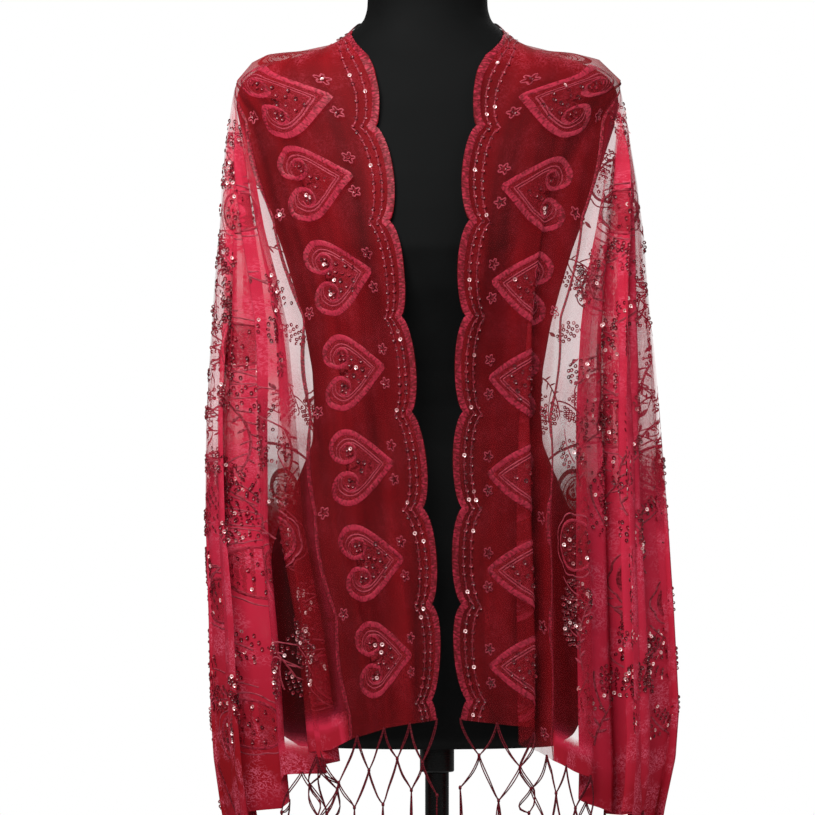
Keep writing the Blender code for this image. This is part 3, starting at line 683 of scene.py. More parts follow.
class Shade:
    """A shader socket on which arithmetic adds Math nodes, and node() adds any other."""

    def __init__(self, tree, socket=None):
        self.tree, self.socket = tree, socket

    def feed(self, slot, value):
        if isinstance(value, Shade):
            self.tree.links.new(value.socket, slot)
        else:
            slot.default_value = value

    def math(self, operation, *values):
        made = self.tree.nodes.new("ShaderNodeMath")
        made.operation = operation
        for slot, value in zip(made.inputs, values):
            self.feed(slot, value)
        return Shade(self.tree, made.outputs[0])

    def __add__(self, other):
        return self.math("ADD", self, other)

    def __sub__(self, other):
        return self.math("SUBTRACT", self, other)

    def __rsub__(self, other):
        return self.math("SUBTRACT", other, self)

    def __mul__(self, other):
        return self.math("MULTIPLY", self, other)

    def __truediv__(self, other):
        return self.math("DIVIDE", self, other)

    def __gt__(self, other):
        return self.math("GREATER_THAN", self, other)

    __radd__, __rmul__ = __add__, __mul__

    def sine(self):
        return self.math("SINE", self)

    def absolute(self):
        return self.math("ABSOLUTE", self)

    def highest(self, other):
        return self.math("MAXIMUM", self, other)

    def clamped(self):
        return self.math("MINIMUM", self.highest(0.0), 1.0)

    def node(self, kind, inputs, out=0, **settings):
        made = self.tree.nodes.new(kind)
        for name, value in settings.items():
            setattr(made, name, value)
        for slot, value in inputs.items():
            self.feed(made.inputs[slot], value)
        return Shade(self.tree, made.outputs[out])

    def split(self):
        """The three parts of a vector."""
        made = self.tree.nodes.new("ShaderNodeSeparateXYZ")
        self.feed(made.inputs[0], self)
        return [Shade(self.tree, out) for out in made.outputs]

    def joined(self, x, y, z):
        return self.node("ShaderNodeCombineXYZ", {0: x, 1: y, 2: z})

    def place(self):
        """Place in the object's coordinates."""
        return self.node("ShaderNodeTexCoord", {}, out=3)

    def flat(self):
        """Place in the flat cloth or along a thread."""
        return self.node("ShaderNodeUVMap", {}, uv_map="flat")

    def share(self, name):
        """A named value of the mesh's points."""
        return self.node("ShaderNodeAttribute", {}, out=2, attribute_name=name)

    def noise(self, place, scale, detail, **more):
        return self.node("ShaderNodeTexNoise", {"Vector": place, "Scale": scale, "Detail": detail, **more})

    def bump(self, height, strength, distance):
        return self.node("ShaderNodeBump", {"Height": height, "Strength": strength, "Distance": distance})

    def mix(self, share, first, second):
        """A colour between two, each of them a Shade or three numbers."""
        first, second = (value if isinstance(value, Shade) else (*value, 1) for value in (first, second))
        return self.node("ShaderNodeMix", {0: share, 6: first, 7: second}, out=2, data_type="RGBA")

    def shader(self, **values):
        """Feed the Principled shader's inputs, whose names have an underscore here for each space."""
        inputs = self.tree.nodes["Principled BSDF"].inputs
        for name, value in values.items():
            self.feed(inputs[name.replace("_", " ")], value)


def look(name):
    """A new material and a Shade to build its nodes with."""
    made = bpy.data.materials.new(name)
    made.use_nodes = True
    return made, Shade(made.node_tree)


def tulle_look(colours):
    """Fine net: its alpha is a mesh of threads, closer in the embroidered borders, with faint worked lace, and painted
    shade in its colour.
    """
    made, shade = look("red_tulle")
    flat = shade.flat()
    u, v, _ = flat.split()
    pitch = 2 * math.pi / (1.3 * MM)
    a = (u * pitch + v * (pitch * 0.58)).sine()
    b = (u * pitch - v * (pitch * 0.58)).sine()
    c = (v * (pitch * 1.16)).sine()
    threads = (a * a) * 0.36 + (b * b) * 0.36 + (c * c) * 0.28
    border = (1.0 - (v - BAND) / 0.012).clamped().highest(((v - OUTER_BORDER) / 0.012).clamped())
    # painted soft-fold shade: long streaks of closer and sheerer net down the borders, which over the black form read
    # lighter and darker
    folds = shade.noise(shade.joined(u * 3.0, v * 34.0, 0.0), 1.0, 2.0)
    patches = shade.noise(flat, 30.0, 4.0)
    fine = shade.noise(flat, 330.0, 3.0, Distortion=0.6)
    crinkle = (1.0 - (fine - 0.5).absolute() * 16.0).clamped()
    own = shade.share("own")
    close = own.highest(0.0)
    # painted shade: the borders, the cloth in the form's shade (own below 0) and the closest cloth near the hems (own
    # above 1.75) take the shaded tulle colour
    shaded = border.highest((0.0 - own).clamped()).highest(((close - 1.75) * 1.5).clamped())
    worked = ((patches - 0.46) * 8.0).clamped() * crinkle * (close + 0.25)
    cover = colours.tulle_cover + border * (folds * 0.9 - 0.32) + close * (0.26 + patches * 0.42) + worked * 0.34
    cover = cover * (1.0 - shade.share("thin") * 0.62)
    dense = (close - 1.0).clamped() * (0.22 + patches * 0.9)
    tone = shade.mix(shaded, colours.tulle, colours.tulle_shade)
    shade.shader(
        Base_Color=shade.mix((worked * 0.45).clamped(), tone, colours.worked),
        Alpha=(cover * (0.45 + threads * 1.1) + dense).clamped(),
        Roughness=0.7,
        Specular_IOR_Level=0.08,
        Normal=shade.bump(threads, 0.25, 0.2 * MM),
    )
    return made


def thread_look(name, deep, bright, stitch, ragged):
    """Stitched thread: streaks across each run, ragged at its sides, with painted highlight where the run turns to the
    light.
    """
    made, shade = look(name)
    u, v, _ = shade.flat().split()
    streak = shade.noise(shade.joined(u / stitch, v * 0.8, 0.0), 1.0, 2.0)
    drift = shade.noise(shade.place(), 26.0, 2.0)
    # painted highlight: the colour goes from the shaded towards the lit thread by each point's share (own), with random
    # drift and the stitch streaks
    tone = (shade.share("own") * (0.35 + drift) + (streak - 0.5) * 4.0).clamped()
    reach = shade.noise(shade.joined(u / (stitch * 0.7), (v > 0.0) * 7.0, 4.0), 1.0, 1.0)
    inside = (1.0 - ragged + reach * (2.0 * ragged) - v.absolute()) * 12.0
    shade.shader(
        Base_Color=shade.mix(tone, deep, bright),
        Alpha=inside.clamped() * 0.94,
        Roughness=(0.5 - (streak - 0.5) * 0.5).clamped(),
        Specular_IOR_Level=0.2,
        Normal=shade.bump(streak, 0.9, 0.5 * MM),
    )
    return made


def ground_look(colours):
    """Closely stitched ground inside the motifs: crinkled threads with gaps between them."""
    made, shade = look("stitched_ground")
    flat = shade.flat()
    thread = (1.0 - (shade.noise(flat, 420.0, 3.0, Distortion=1.2) - 0.5).absolute() * 18.0).clamped()
    lit = shade.noise(flat, 40.0, 2.0)
    # painted sheen and shade: the crinkled threads go from the shaded tulle colour towards the lit satin colour, more
    # so in random patches
    shade.shader(
        Base_Color=shade.mix((thread * (0.3 + lit)).clamped(), colours.tulle_shade, colours.satin_light),
        Alpha=0.22 + thread * 0.55,
        Roughness=0.55,
        Specular_IOR_Level=0.2,
        Normal=shade.bump(thread, 0.5, 0.3 * MM),
    )
    return made


def sequin_look(colours):
    """Glossy foil cups: most are dark red rings, and a few are given a painted white or pink glint with a faint glow.
    """
    made, shade = look("sequin_foil")
    own = shade.share("own")
    wear = shade.noise(shade.place(), 700.0, 2.0)
    # painted glint: the sequins whose own share passes 0.9 take the glint colour, some metal and a faint painted glow
    bright = ((own - 0.90) * 18.0).clamped()
    warm = shade.mix((own * 0.9 + wear * 0.3).clamped(), colours.sequin, colours.sequin_warm)
    shade.shader(
        Base_Color=shade.mix(bright, warm, colours.sequin_glint),
        Metallic=bright * 0.6,
        Roughness=0.16 + wear * 0.16,
        Emission_Color=shade.mix(bright, (0.0, 0.0, 0.0), colours.sequin_glint),
        Emission_Strength=0.35,
        Specular_IOR_Level=0.5,
    )
    return made


def cover_look(colours):
    """Black jersey stretched over the form."""
    made, shade = look("black_jersey")
    place = shade.place()
    x, y, z = place.split()
    courses = (z * (2 * math.pi / (0.9 * MM))).sine() * 0.5 + 0.5
    wales = ((x + y * 0.8) * (2 * math.pi / (1.1 * MM))).sine() * 0.5 + 0.5
    lint = shade.noise(place, 30.0, 6.0)
    tone = (lint * 0.9 + courses * wales * 0.35).clamped()
    shade.shader(
        Base_Color=shade.mix(tone, [c * 0.6 for c in colours.form], [c * 1.5 for c in colours.form]),
        Roughness=0.62 + lint * 0.2,
        Specular_IOR_Level=0.08,
        Normal=shade.bump(courses * wales, 0.3, 0.2 * MM),
    )
    return made


def steel_look(colours):
    """Black painted steel with faint turning marks and rubbed patches."""
    made, shade = look("black_painted_steel")
    place = shade.place()
    x, y, z = place.split()
    worn = ((shade.noise(place, 22.0, 7.0, Roughness=0.65) - 0.62) * 5.0).clamped()
    marks = shade.noise(shade.joined(x * 30.0, y * 30.0, z * 900.0), 1.0, 2.0)
    shade.shader(
        Base_Color=shade.mix(worn, colours.steel, [c * 2.6 for c in colours.steel]),
        Roughness=0.22 + worn * 0.2 + marks * 0.12,
        Metallic=0.3,
        Normal=shade.bump(marks, 0.08, 0.1 * MM),
    )
    return made


def floor_look():
    """Pale floor with faint clouds."""
    made, shade = look("pale_floor")
    clouds = shade.noise(shade.place(), 3.0, 3.0)
    shade.shader(Base_Color=shade.mix(clouds, (0.90, 0.90, 0.90), (0.95, 0.95, 0.945)), Roughness=0.8)
    return made


def piece(name, points, faces, material, uv=None, **shares):
    """A finished mesh piece at the origin that rides on the object; each share is a value for each point.

    Its faces are smooth, apart from caps with many corners.
    """
    mesh = bpy.data.meshes.new(name)
    points = np.asarray(points, float)
    if not np.isfinite(points).all():
        raise RuntimeError(f"{name} has points that aren't numbers")
    flat_faces = np.concatenate([np.asarray(f, int).ravel() for f in faces])
    sizes = np.concatenate([np.full(len(f), np.shape(f)[1]) for f in faces])
    mesh.vertices.add(len(points))
    mesh.vertices.foreach_set("co", points.ravel())
    mesh.loops.add(len(flat_faces))
    mesh.loops.foreach_set("vertex_index", flat_faces)
    mesh.polygons.add(len(sizes))
    mesh.polygons.foreach_set("loop_start", np.concatenate([[0], np.cumsum(sizes)[:-1]]))
    mesh.polygons.foreach_set("use_smooth", sizes < 5)
    mesh.update(calc_edges=True)
    if mesh.validate():
        raise RuntimeError(f"{name} has faces that don't hold together")
    if uv is not None:
        layer = mesh.uv_layers.new(name="flat")
        layer.data.foreach_set("uv", np.asarray(uv, float)[flat_faces].ravel())
    for share, values in shares.items():
        mesh.attributes.new(share, "FLOAT", "POINT").data.foreach_set("value", np.asarray(values, float))
    mesh.materials.append(material)
    made = bpy.data.objects.new(name, mesh)
    bpy.context.scene.collection.objects.link(made)
    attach(made, "root")
    return made


def scallop_rows():
    """Distances from the centre back to each row of the front band, with one on each notch."""
    notches = np.arange(1, 9) * SCALLOP_LENGTH + SCALLOP_START
    stops = [NECK_S, *[n for n in notches if NECK_S < n < HALF_LENGTH], HALF_LENGTH]
    rows = [NECK_S]
    for a, b in zip(stops[:-1], stops[1:]):
        count = max(2, round(LOBE_ROWS * (b - a) / SCALLOP_LENGTH))
        rows += list(np.linspace(a, b, count + 1)[1:])
    return (np.array(rows) - NECK_S) / (HALF_LENGTH - NECK_S)


def ray_angles(sign):
    """Angles of the gathered side's rays: closest where the folds turn, with one on each notch and on the corner."""
    fine = np.linspace(0, 90, 3001)
    turn = np.radians(fine)
    plan, _ = laid(sign * (TIP_S + 0.4 * np.cos(turn)), BAND + 0.4 * np.sin(turn) + 1e-9)
    step = np.diff(plan[:, :2], axis=0)
    heading = np.unwrap(np.arctan2(step[:, 1], step[:, 0]))
    turned = np.concatenate([[0], np.abs(np.diff(heading))])
    measure = np.concatenate([[0], np.cumsum(np.linalg.norm(step, axis=1) + 0.03 * turned + 0.00008)])
    angle = np.interp(np.linspace(0, measure[-1], RAYS + 1), measure, fine)
    for k in range(1, 9):
        notch = SCALLOP_START + SCALLOP_LENGTH * k
        if TIP_S < notch < HALF_LENGTH:
            sharp = math.degrees(math.atan2(WIDTH - BAND - SCALLOP_DEPTH, notch - TIP_S))
            angle[np.argmin(np.abs(angle - sharp))] = sharp
    corner = math.degrees(math.atan2(WIDTH - BAND - scallop(HALF_LENGTH), HALF_LENGTH - TIP_S))
    angle[np.argmin(np.abs(angle - corner))] = corner
    return angle


def ray_reaches(turn):
    """How far the rays at these angles (radians) run from the shoulder tip to the hem or the scalloped edge."""
    to_hem = (HALF_LENGTH - TIP_S) / np.maximum(np.cos(turn), 1e-9)
    reach = np.minimum(to_hem, (WIDTH - BAND) / np.maximum(np.sin(turn), 1e-9))
    for _ in range(12):
        cut = scallop(np.minimum(TIP_S + reach * np.cos(turn), HALF_LENGTH))
        to_edge = (WIDTH - BAND - cut) / np.maximum(np.sin(turn), 1e-9)
        reach = np.minimum(0.5 * reach + 0.5 * to_edge, to_hem)
    return reach


def flat_grids(sign):
    """Grids of flat points (s, w) that cover one half of the cloth, joined row to row along their seams."""
    down = scallop_rows()[:, None]
    across = np.linspace(0, 1, BAND_COLUMNS + 1)[None, :] ** 0.9
    # the band in front of the shoulder line
    edge_s = NECK_S + (HALF_LENGTH - NECK_S) * down
    w = scallop(edge_s) + (BAND - scallop(edge_s)) * across
    ridge_s = NECK_S + (TIP_S - NECK_S) * w / BAND
    yield sign * (ridge_s + (HALF_LENGTH - ridge_s) * down), w
    # the band behind the neck
    turn = np.linspace(0, 1, NAPE_ROWS + 1)[:, None]
    edge = scallop(NECK_S * (1 - turn))
    w = edge + (BAND - edge) * across
    yield sign * (NECK_S + (TIP_S - NECK_S) * w / BAND) * (1 - turn), w
    # the gathered side
    turn = np.radians(ray_angles(sign))
    r = down * ray_reaches(turn)[None, :]
    yield sign * (TIP_S + r * np.cos(turn)), BAND + r * np.sin(turn)
    # the back panel
    s = np.linspace(TIP_S, 0, BACK_COLUMNS + 1)[None, :]
    w = BAND + down * (WIDTH - BAND - scallop(s))
    yield np.broadcast_to(sign * s, w.shape), w


def cloth_mesh():
    """The whole cloth's flat points, each once, and its faces, turned so that they face out."""
    index, flat, faces = {}, [], []
    for sign in (-1, 1):
        for s, w in flat_grids(sign):
            ids = np.zeros(s.shape, int)
            for at, (a, b) in enumerate(zip(s.ravel(), w.ravel())):
                key = (round(float(a) * 2e4), round(float(b) * 2e4))
                if key not in index:
                    index[key] = len(flat)
                    flat.append((float(a), float(b)))
                ids.ravel()[at] = index[key]
            for quad in np.stack([ids[:-1, :-1], ids[1:, :-1], ids[1:, 1:], ids[:-1, 1:]], -1).reshape(-1, 4):
                ring = list(dict.fromkeys(int(i) for i in quad))
                if len(ring) < 3:
                    continue
                corners = [flat[i] for i in ring]
                area = sum(a[0] * b[1] - b[0] * a[1] for a, b in zip(corners, corners[1:] + corners[:1]))
                faces.append(ring if area > 0 else ring[::-1])
    return np.array(flat), faces


def by_size(faces):
    """The triangles and the quads, each as an array."""
    return [np.array([f for f in faces if len(f) == n]) for n in (3, 4) if any(len(f) == n for f in faces)]


class Needlework:
    """Runs of thread and sequins, drawn in the flat cloth."""

    def __init__(self):
        self.runs = {"satin": [], "chain": [], "leaf": []}
        self.sequins = []
        self.grounds = []

    def run(self, kind, points, width, step=3 * MM):
        """A run through the points; the width may be a number or one for each point."""
        points = np.asarray(points, float)
        width = np.broadcast_to(np.asarray(width, float), len(points))
        length = lengths(points)
        at = np.linspace(0, length[-1], max(3, int(length[-1] / step) + 2))
        line = [np.interp(at, length, column) for column in (points[:, 0], points[:, 1], width)]
        self.runs[kind].append(np.stack([*line, at], -1))

    def row(self, points, gap, radius):
        """Sequins spaced along a line."""
        points = np.asarray(points, float)
        length = lengths(points)
        at = np.arange(gap / 2, length[-1], gap)
        for s, w in zip(np.interp(at, length, points[:, 0]), np.interp(at, length, points[:, 1])):
            self.sequins.append((s, w, radius))

    def ring(self, s, w, across, along, count, radius, turn=0.0):
        """Sequins round an oval."""
        for k in range(count):
            a = turn + 2 * math.pi * k / count
            self.sequins.append((s + across * math.cos(a), w + along * math.sin(a), radius))

    def laid_runs(self, kind, crown):
        """Crowned strips for all runs of one kind: points, faces, flat coordinates and each point's share of painted
        highlight.
        """
        rows, faces, start = [], [], 0
        for line in self.runs[kind]:
            count = len(line)
            along = unit(np.gradient(line[:, :2], axis=0))
            across = np.stack([-along[:, 1], along[:, 0]], -1) * line[:, 2:3] / 2
            for share, high in ((-1, 0.12), (0, crown), (1, 0.12)):
                flat = line[:, :2] + across * share
                # the last column is the painted highlight share: most where the run heads across the cloth from long
                # edge to long edge
                rows.append(np.column_stack([flat, np.full(count, high * MM), line[:, 3] + 0.37 * start,
                                             np.full(count, float(share)), 0.25 + 0.75 * np.abs(along[:, 1]) ** 1.5]))
            grid = start + np.arange(3 * count).reshape(3, count)
            faces.append(np.stack([grid[:-1, :-1], grid[:-1, 1:], grid[1:, 1:], grid[1:, :-1]], -1).reshape(-1, 4))
            start += 3 * count
        rows = np.concatenate(rows)
        rows[:, 1] = np.clip(rows[:, 1], 0.5 * MM, WIDTH - 0.5 * MM)
        points, _ = laid(rows[:, 0], rows[:, 1], rows[:, 2])
        return points, [np.concatenate(faces)], rows[:, 3:5], rows[:, 5]

    def laid_grounds(self):
        """Each ground as rings of cells from its middle to its outline."""
        flat, faces, start = [], [], 0
        for middle, outline in self.grounds:
            shares = np.linspace(0.06, 1, GROUND_RINGS)[:, None, None]
            rings = np.asarray(middle) + (outline - np.asarray(middle)) * shares
            count = len(outline)
            at = start + np.arange(GROUND_RINGS * count).reshape(GROUND_RINGS, count)
            after = np.roll(at, -1, axis=1)
            cells = np.stack([at[:-1], at[1:], after[1:], after[:-1]], -1).reshape(-1, 4)
            x, y = outline[:, 0], outline[:, 1]
            turns_left = (x * np.roll(y, -1) - np.roll(x, -1) * y).sum() > 0
            faces.append(cells if turns_left else cells[:, ::-1])
            flat.append(rings.reshape(-1, 2))
            start += GROUND_RINGS * count
        flat = np.concatenate(flat)
        points, _ = laid(flat[:, 0], flat[:, 1], 0.1 * MM)
        return points, [np.concatenate(faces)], flat

    def laid_sequins(self, rng):
        """Cupped discs with a hole, each tilted a little: points, faces and each one's own share, which sets its tone
        at random and, for a few, a painted glint.
        """
        spots = np.array(self.sequins)
        centre, normal = laid(spots[:, 0], spots[:, 1], 0.7 * MM)
        normal = unit(normal + rng.normal(0, 0.22, normal.shape))
        first = unit(np.cross(normal, [0.0, 0.0, 1.0]))
        second = np.cross(normal, first)
        turn = np.arange(SPOKES) / SPOKES * 2 * math.pi
        spoke = first[:, None, :] * np.cos(turn)[None, :, None] + second[:, None, :] * np.sin(turn)[None, :, None]
        rings = []
        for share, high in ((0.38, -0.25), (0.72, -0.05), (1.0, 0.45)):
            out = spoke * (spots[:, 2] * share)[:, None, None]
            rings.append(centre[:, None, :] + out + normal[:, None, :] * (high * MM))
        points = np.stack(rings, 1).reshape(-1, 3)
        ring = np.arange(3 * SPOKES).reshape(3, SPOKES)
        after = np.roll(ring, -1, axis=1)
        cells = np.stack([ring[:-1], after[:-1], after[1:], ring[1:]], -1).reshape(1, -1, 4)
        base = (np.arange(len(spots)) * ring.size)[:, None, None]
        own = np.repeat(rng.random(len(spots)), ring.size)
        return points, [(base + cells).reshape(-1, 4)[:, ::-1]], own


def bent(points, count):
    """A smooth line through a few points."""
    points = np.asarray(points, float)
    knots = np.arange(len(points), dtype=float)
    at = np.linspace(0, len(points) - 1, count)
    return np.stack([smooth_through(knots, points[:, c], at) for c in range(points.shape[1])], -1)


def rosette(work, s, w, turn=0.3):
    """A small flower: five thread loops round a sequin."""
    around = np.linspace(0, 2 * math.pi, 61)
    reach = 6.4 * MM * (0.72 + 0.28 * np.cos(5 * (around - turn)))
    work.run("chain", np.column_stack([s + reach * np.cos(around), w + reach * np.sin(around)]), 1.5 * MM, 1.6 * MM)
    work.sequins.append((s, w, 2.4 * MM))


def heart(work, s, edge, size, satin, filled, lean=0.0):
    """A heart whose tip points to the scalloped edge (edge is +1 at the neck and -1 outside), leaning from its tip."""
    centre = HEART_INSET if edge > 0 else WIDTH - HEART_INSET

    def at(across, along):
        return np.stack([s + across * size + lean * (along + 1) * size, centre + edge * along * size + 0 * across], -1)

    half = bent(HEART, 46)
    both = np.concatenate([half[::-1] * (-1, 1, 1), half[1:]])
    work.run("satin", at(both[:, 0], both[:, 1] * 1.04), satin * both[:, 2], 2.2 * MM)
    inner = both[20:72]  # without the spirals
    for share in (0.80, 0.70):
        work.run("chain", at(inner[:, 0] * share, inner[:, 1] * share + 0.05), 1.3 * MM, 2 * MM)
    # the ground fills the outline, from the tip up both sides to the lobes' inner ends
    outline = np.concatenate([half[:30], half[:30][::-1] * (-1, 1, 1)])
    work.grounds.append((at(0.0, 0.0), at(outline[:, 0] * 0.93, outline[:, 1] * 0.96)))
    for mirror in (-1, 1):
        work.ring(*at(mirror * 0.42, 0.36), 3.6 * MM, 3.6 * MM, 4, 2.2 * MM, mirror)
        rosette(work, *at(mirror * 0.47, -1.07), mirror)
    for k in range(filled):
        turn, reach = 2.4 * k, 0.13 * math.sqrt(k + 0.5)
        work.sequins.append((*at(reach * math.cos(turn), reach * math.sin(turn) - 0.12), 2.3 * MM))


def leaf(work, s, w, heading, length):
    """A satin leaf: a short run, wide in its middle."""
    share = np.array([0, 0.2, 0.5, 0.8, 1.0])
    spot = np.column_stack([s + length * share * math.cos(heading), w + length * share * math.sin(heading)])
    work.run("leaf", spot, np.array([0.1, 0.75, 1.0, 0.7, 0.1]) * length * 0.30, length / 4)


def twig(work, s, w, heading, length, bend):
    """A bending thread, whose far end is returned with its heading."""
    share = np.linspace(0, 1, 12)
    turn = heading + bend * share
    spots = np.cumsum(np.column_stack([np.cos(turn), np.sin(turn)]) * length / 11, axis=0) + (s, w)
    work.run("chain", spots, 1.5 * MM, 2.5 * MM)
    return spots, turn


def frond(work, s, w, heading, length, bend):
    """A twig with slanting rows of sequins on both sides, which shorten to its end."""
    spots, turn = twig(work, s, w, heading, length, bend)
    for k in range(3, 12, 2):
        for mirror in (-1, 1):
            slant = turn[k] + mirror * 0.95
            for step in range(1, 4 if k < 8 else 3):
                reach = (1.2 + 4.5 * step) * MM
                work.sequins.append((spots[k, 0] + reach * math.cos(slant), spots[k, 1] + reach * math.sin(slant),
                                     2.1 * MM))


def spray(work, s, w, heading, length, bend):
    """A bending stem with small leaves and two fronds."""
    spots, turn = twig(work, s, w, heading, length, bend)
    for k in range(1, 12):
        leaf(work, *spots[k], turn[k] + (0.8 if k % 2 else -0.8), (9 - 0.35 * k) * MM)
    frond(work, *spots[5], turn[5] + 0.9, length * 0.5, -0.5)
    frond(work, *spots[8], turn[8] - 0.8, length * 0.42, 0.5)


def medallion(work, s, w, radius):
    """A round medallion: stitched ground, satin rim, a scalloped thread outside and sequins within."""
    turn = np.linspace(0, 2 * math.pi, 49)
    work.grounds.append(((s, w), np.column_stack([s + radius * np.cos(turn[:-1]), w + radius * np.sin(turn[:-1])])))
    work.run("satin", np.column_stack([s + radius * np.cos(turn), w + radius * np.sin(turn)]), 3.0 * MM)
    rim = radius * (1.2 + 0.1 * np.abs(np.sin(turn * 4)))
    work.run("chain", np.column_stack([s + rim * np.cos(turn), w + rim * np.sin(turn)]), 1.5 * MM)
    work.ring(s, w, radius * 0.34, radius * 0.34, 6, 2.3 * MM)
    work.sequins.append((s, w, 2.4 * MM))
    work.ring(s, w, radius * 0.74, radius * 0.74, 13, 2.1 * MM)


def cluster(work, s, w, heading):
    """An oval cluster of sequins between two leaves."""
    for size, count in ((0.0, 1), (5.0 * MM, 6), (9.6 * MM, 11)):
        work.ring(s, w, size * (1.25 if size else 1), size, count, 2.2 * MM, heading)
    for mirror in (-1, 1):
        leaf(work, s + mirror * 14 * MM, w, heading + (0 if mirror > 0 else math.pi), 12 * MM)


def sew_borders(work, sizes):
    """Satin along the scallops, two rows of thread and sequins, and the wave line, on both long edges."""
    s = np.linspace(-HALF_LENGTH, HALF_LENGTH, 1201)
    cut = scallop(np.abs(s))
    for edge in (1, -1):
        foot = 0.0 if edge > 0 else WIDTH
        work.run("satin", np.column_stack([s, foot + edge * (cut + sizes.edge_width / 2)]), sizes.edge_width, 2.5 * MM)
        for inset in (13 * MM, 21 * MM):
            line = np.column_stack([s, foot + edge * (cut + inset)])
            work.run("chain", line, 1.3 * MM, 2.5 * MM)
            work.row(line, 9.5 * MM, 2.15 * MM)
        wave = BAND - 1.5 * MM + 5 * MM * np.abs(np.sin((np.abs(s) - SCALLOP_START) / SCALLOP_LENGTH * math.pi))
        work.run("satin", np.column_stack([s, foot + edge * wave]), 3.4 * MM)


def sew_hearts(work, sizes):
    """A heart in each scallop of both long edges, with small flowers between them."""
    for k in range(-8, 9):
        middle = math.copysign(SCALLOP_START + SCALLOP_LENGTH * (abs(k) - 0.5), k) if k else 0.0
        lean, moved = HEART_LEANS.get(abs(k), (0.0, 0.0))
        for edge in (1, -1):
            tip = middle + math.copysign(moved - (HEART_SHIFT if k > 2 else 0), k) if edge > 0 else middle
            heart(work, tip, edge, HEART_SIZE, sizes.satin_width, 4 + 5 * (k % 3), math.copysign(lean, k) * (edge > 0))
            out = ROSETTE_INSET if edge > 0 else WIDTH - ROSETTE_INSET
            if abs(middle) + SCALLOP_LENGTH / 2 < HALF_LENGTH - 0.01:
                rosette(work, middle + SCALLOP_LENGTH / 2, out)


def sew_field(work):
    """Medallions, clusters, sprays and fronds between the borders."""
    for row, w in enumerate(FIELD_ROWS):
        for k in range(-10, 11):
            at = (k + (0.5 if row % 2 else 0.0)) * FIELD_STEP
            if abs(at) > HALF_LENGTH - 0.045:
                continue
            kind = (k + 2 * row) % 4
            if kind == 0 and on_plain(*ray(at, w)):
                spray(work, at, w, 0.8 + 0.3 * k, 0.05, 0.5)
            elif kind == 0:
                medallion(work, at, w, 23 * MM)
                frond(work, at + 0.030, w - 0.02, 0.9, 0.030, 0.4)
            elif kind == 2:
                cluster(work, at + 0.004, w - 0.016, 0.4 * k)
                spray(work, at - 0.036, w + 0.012, 0.35 + 0.4 * math.sin(k * 1.7 + row), 0.066, 0.7)
            else:
                spray(work, at + 0.032, w + 0.020, math.pi + 0.5 + 0.4 * math.cos(k * 2.3 + row), 0.068, -0.8)
                frond(work, at - 0.026, w - 0.022, 0.2 - 0.5 * math.cos(k * 1.1), 0.036, 0.6)


def thin_out(work):
    """On the plain outermost folds, small clusters take the place of all the sequins so far."""
    spots = np.array(work.sequins)
    angle, r = ray(spots[:, 0], spots[:, 1])
    work.sequins = [tuple(spot) for spot in spots[~on_plain(angle, r)]]
    for side in (-1, 1):
        for k, (turn, reach) in enumerate(OUTER_CLUSTERS):
            turn, reach = math.radians(turn + side), reach + 0.006 * side
            s, w = side * (TIP_S + reach * math.cos(turn)), BAND + reach * math.sin(turn)
            work.ring(s, w, 6 * MM, 5 * MM, 6, 2.2 * MM, k)
            work.sequins.append((s, w, 2.2 * MM))


class Tubes:
    """Round threads gathered into one mesh."""

    def __init__(self):
        self.points, self.faces, self.flat, self.count = [], [], [], 0

    def add(self, line, radius, sides):
        """A tube along a line; the radius may be a number or one for each point."""
        line = np.asarray(line, float)
        radius = np.broadcast_to(np.asarray(radius, float), len(line))
        along = unit(np.gradient(line, axis=0))
        first = unit(np.cross(along, [0.3, 1.0, 0.1]))
        second = np.cross(along, first)
        turn = np.arange(sides) / sides * 2 * math.pi
        ring = first[:, None] * np.cos(turn)[None, :, None] + second[:, None] * np.sin(turn)[None, :, None]
        self.points.append((line[:, None] + ring * radius[:, None, None]).reshape(-1, 3))
        spin = np.tile(turn * radius.mean(), len(line))
        self.flat.append(np.column_stack([np.repeat(lengths(line), sides), spin]))
        at = self.count + np.arange(len(line) * sides).reshape(len(line), sides)
        after = np.roll(at, -1, axis=1)
        self.faces.append(np.stack([at[:-1], after[:-1], after[1:], at[1:]], -1).reshape(-1, 4))
        self.count += len(line) * sides


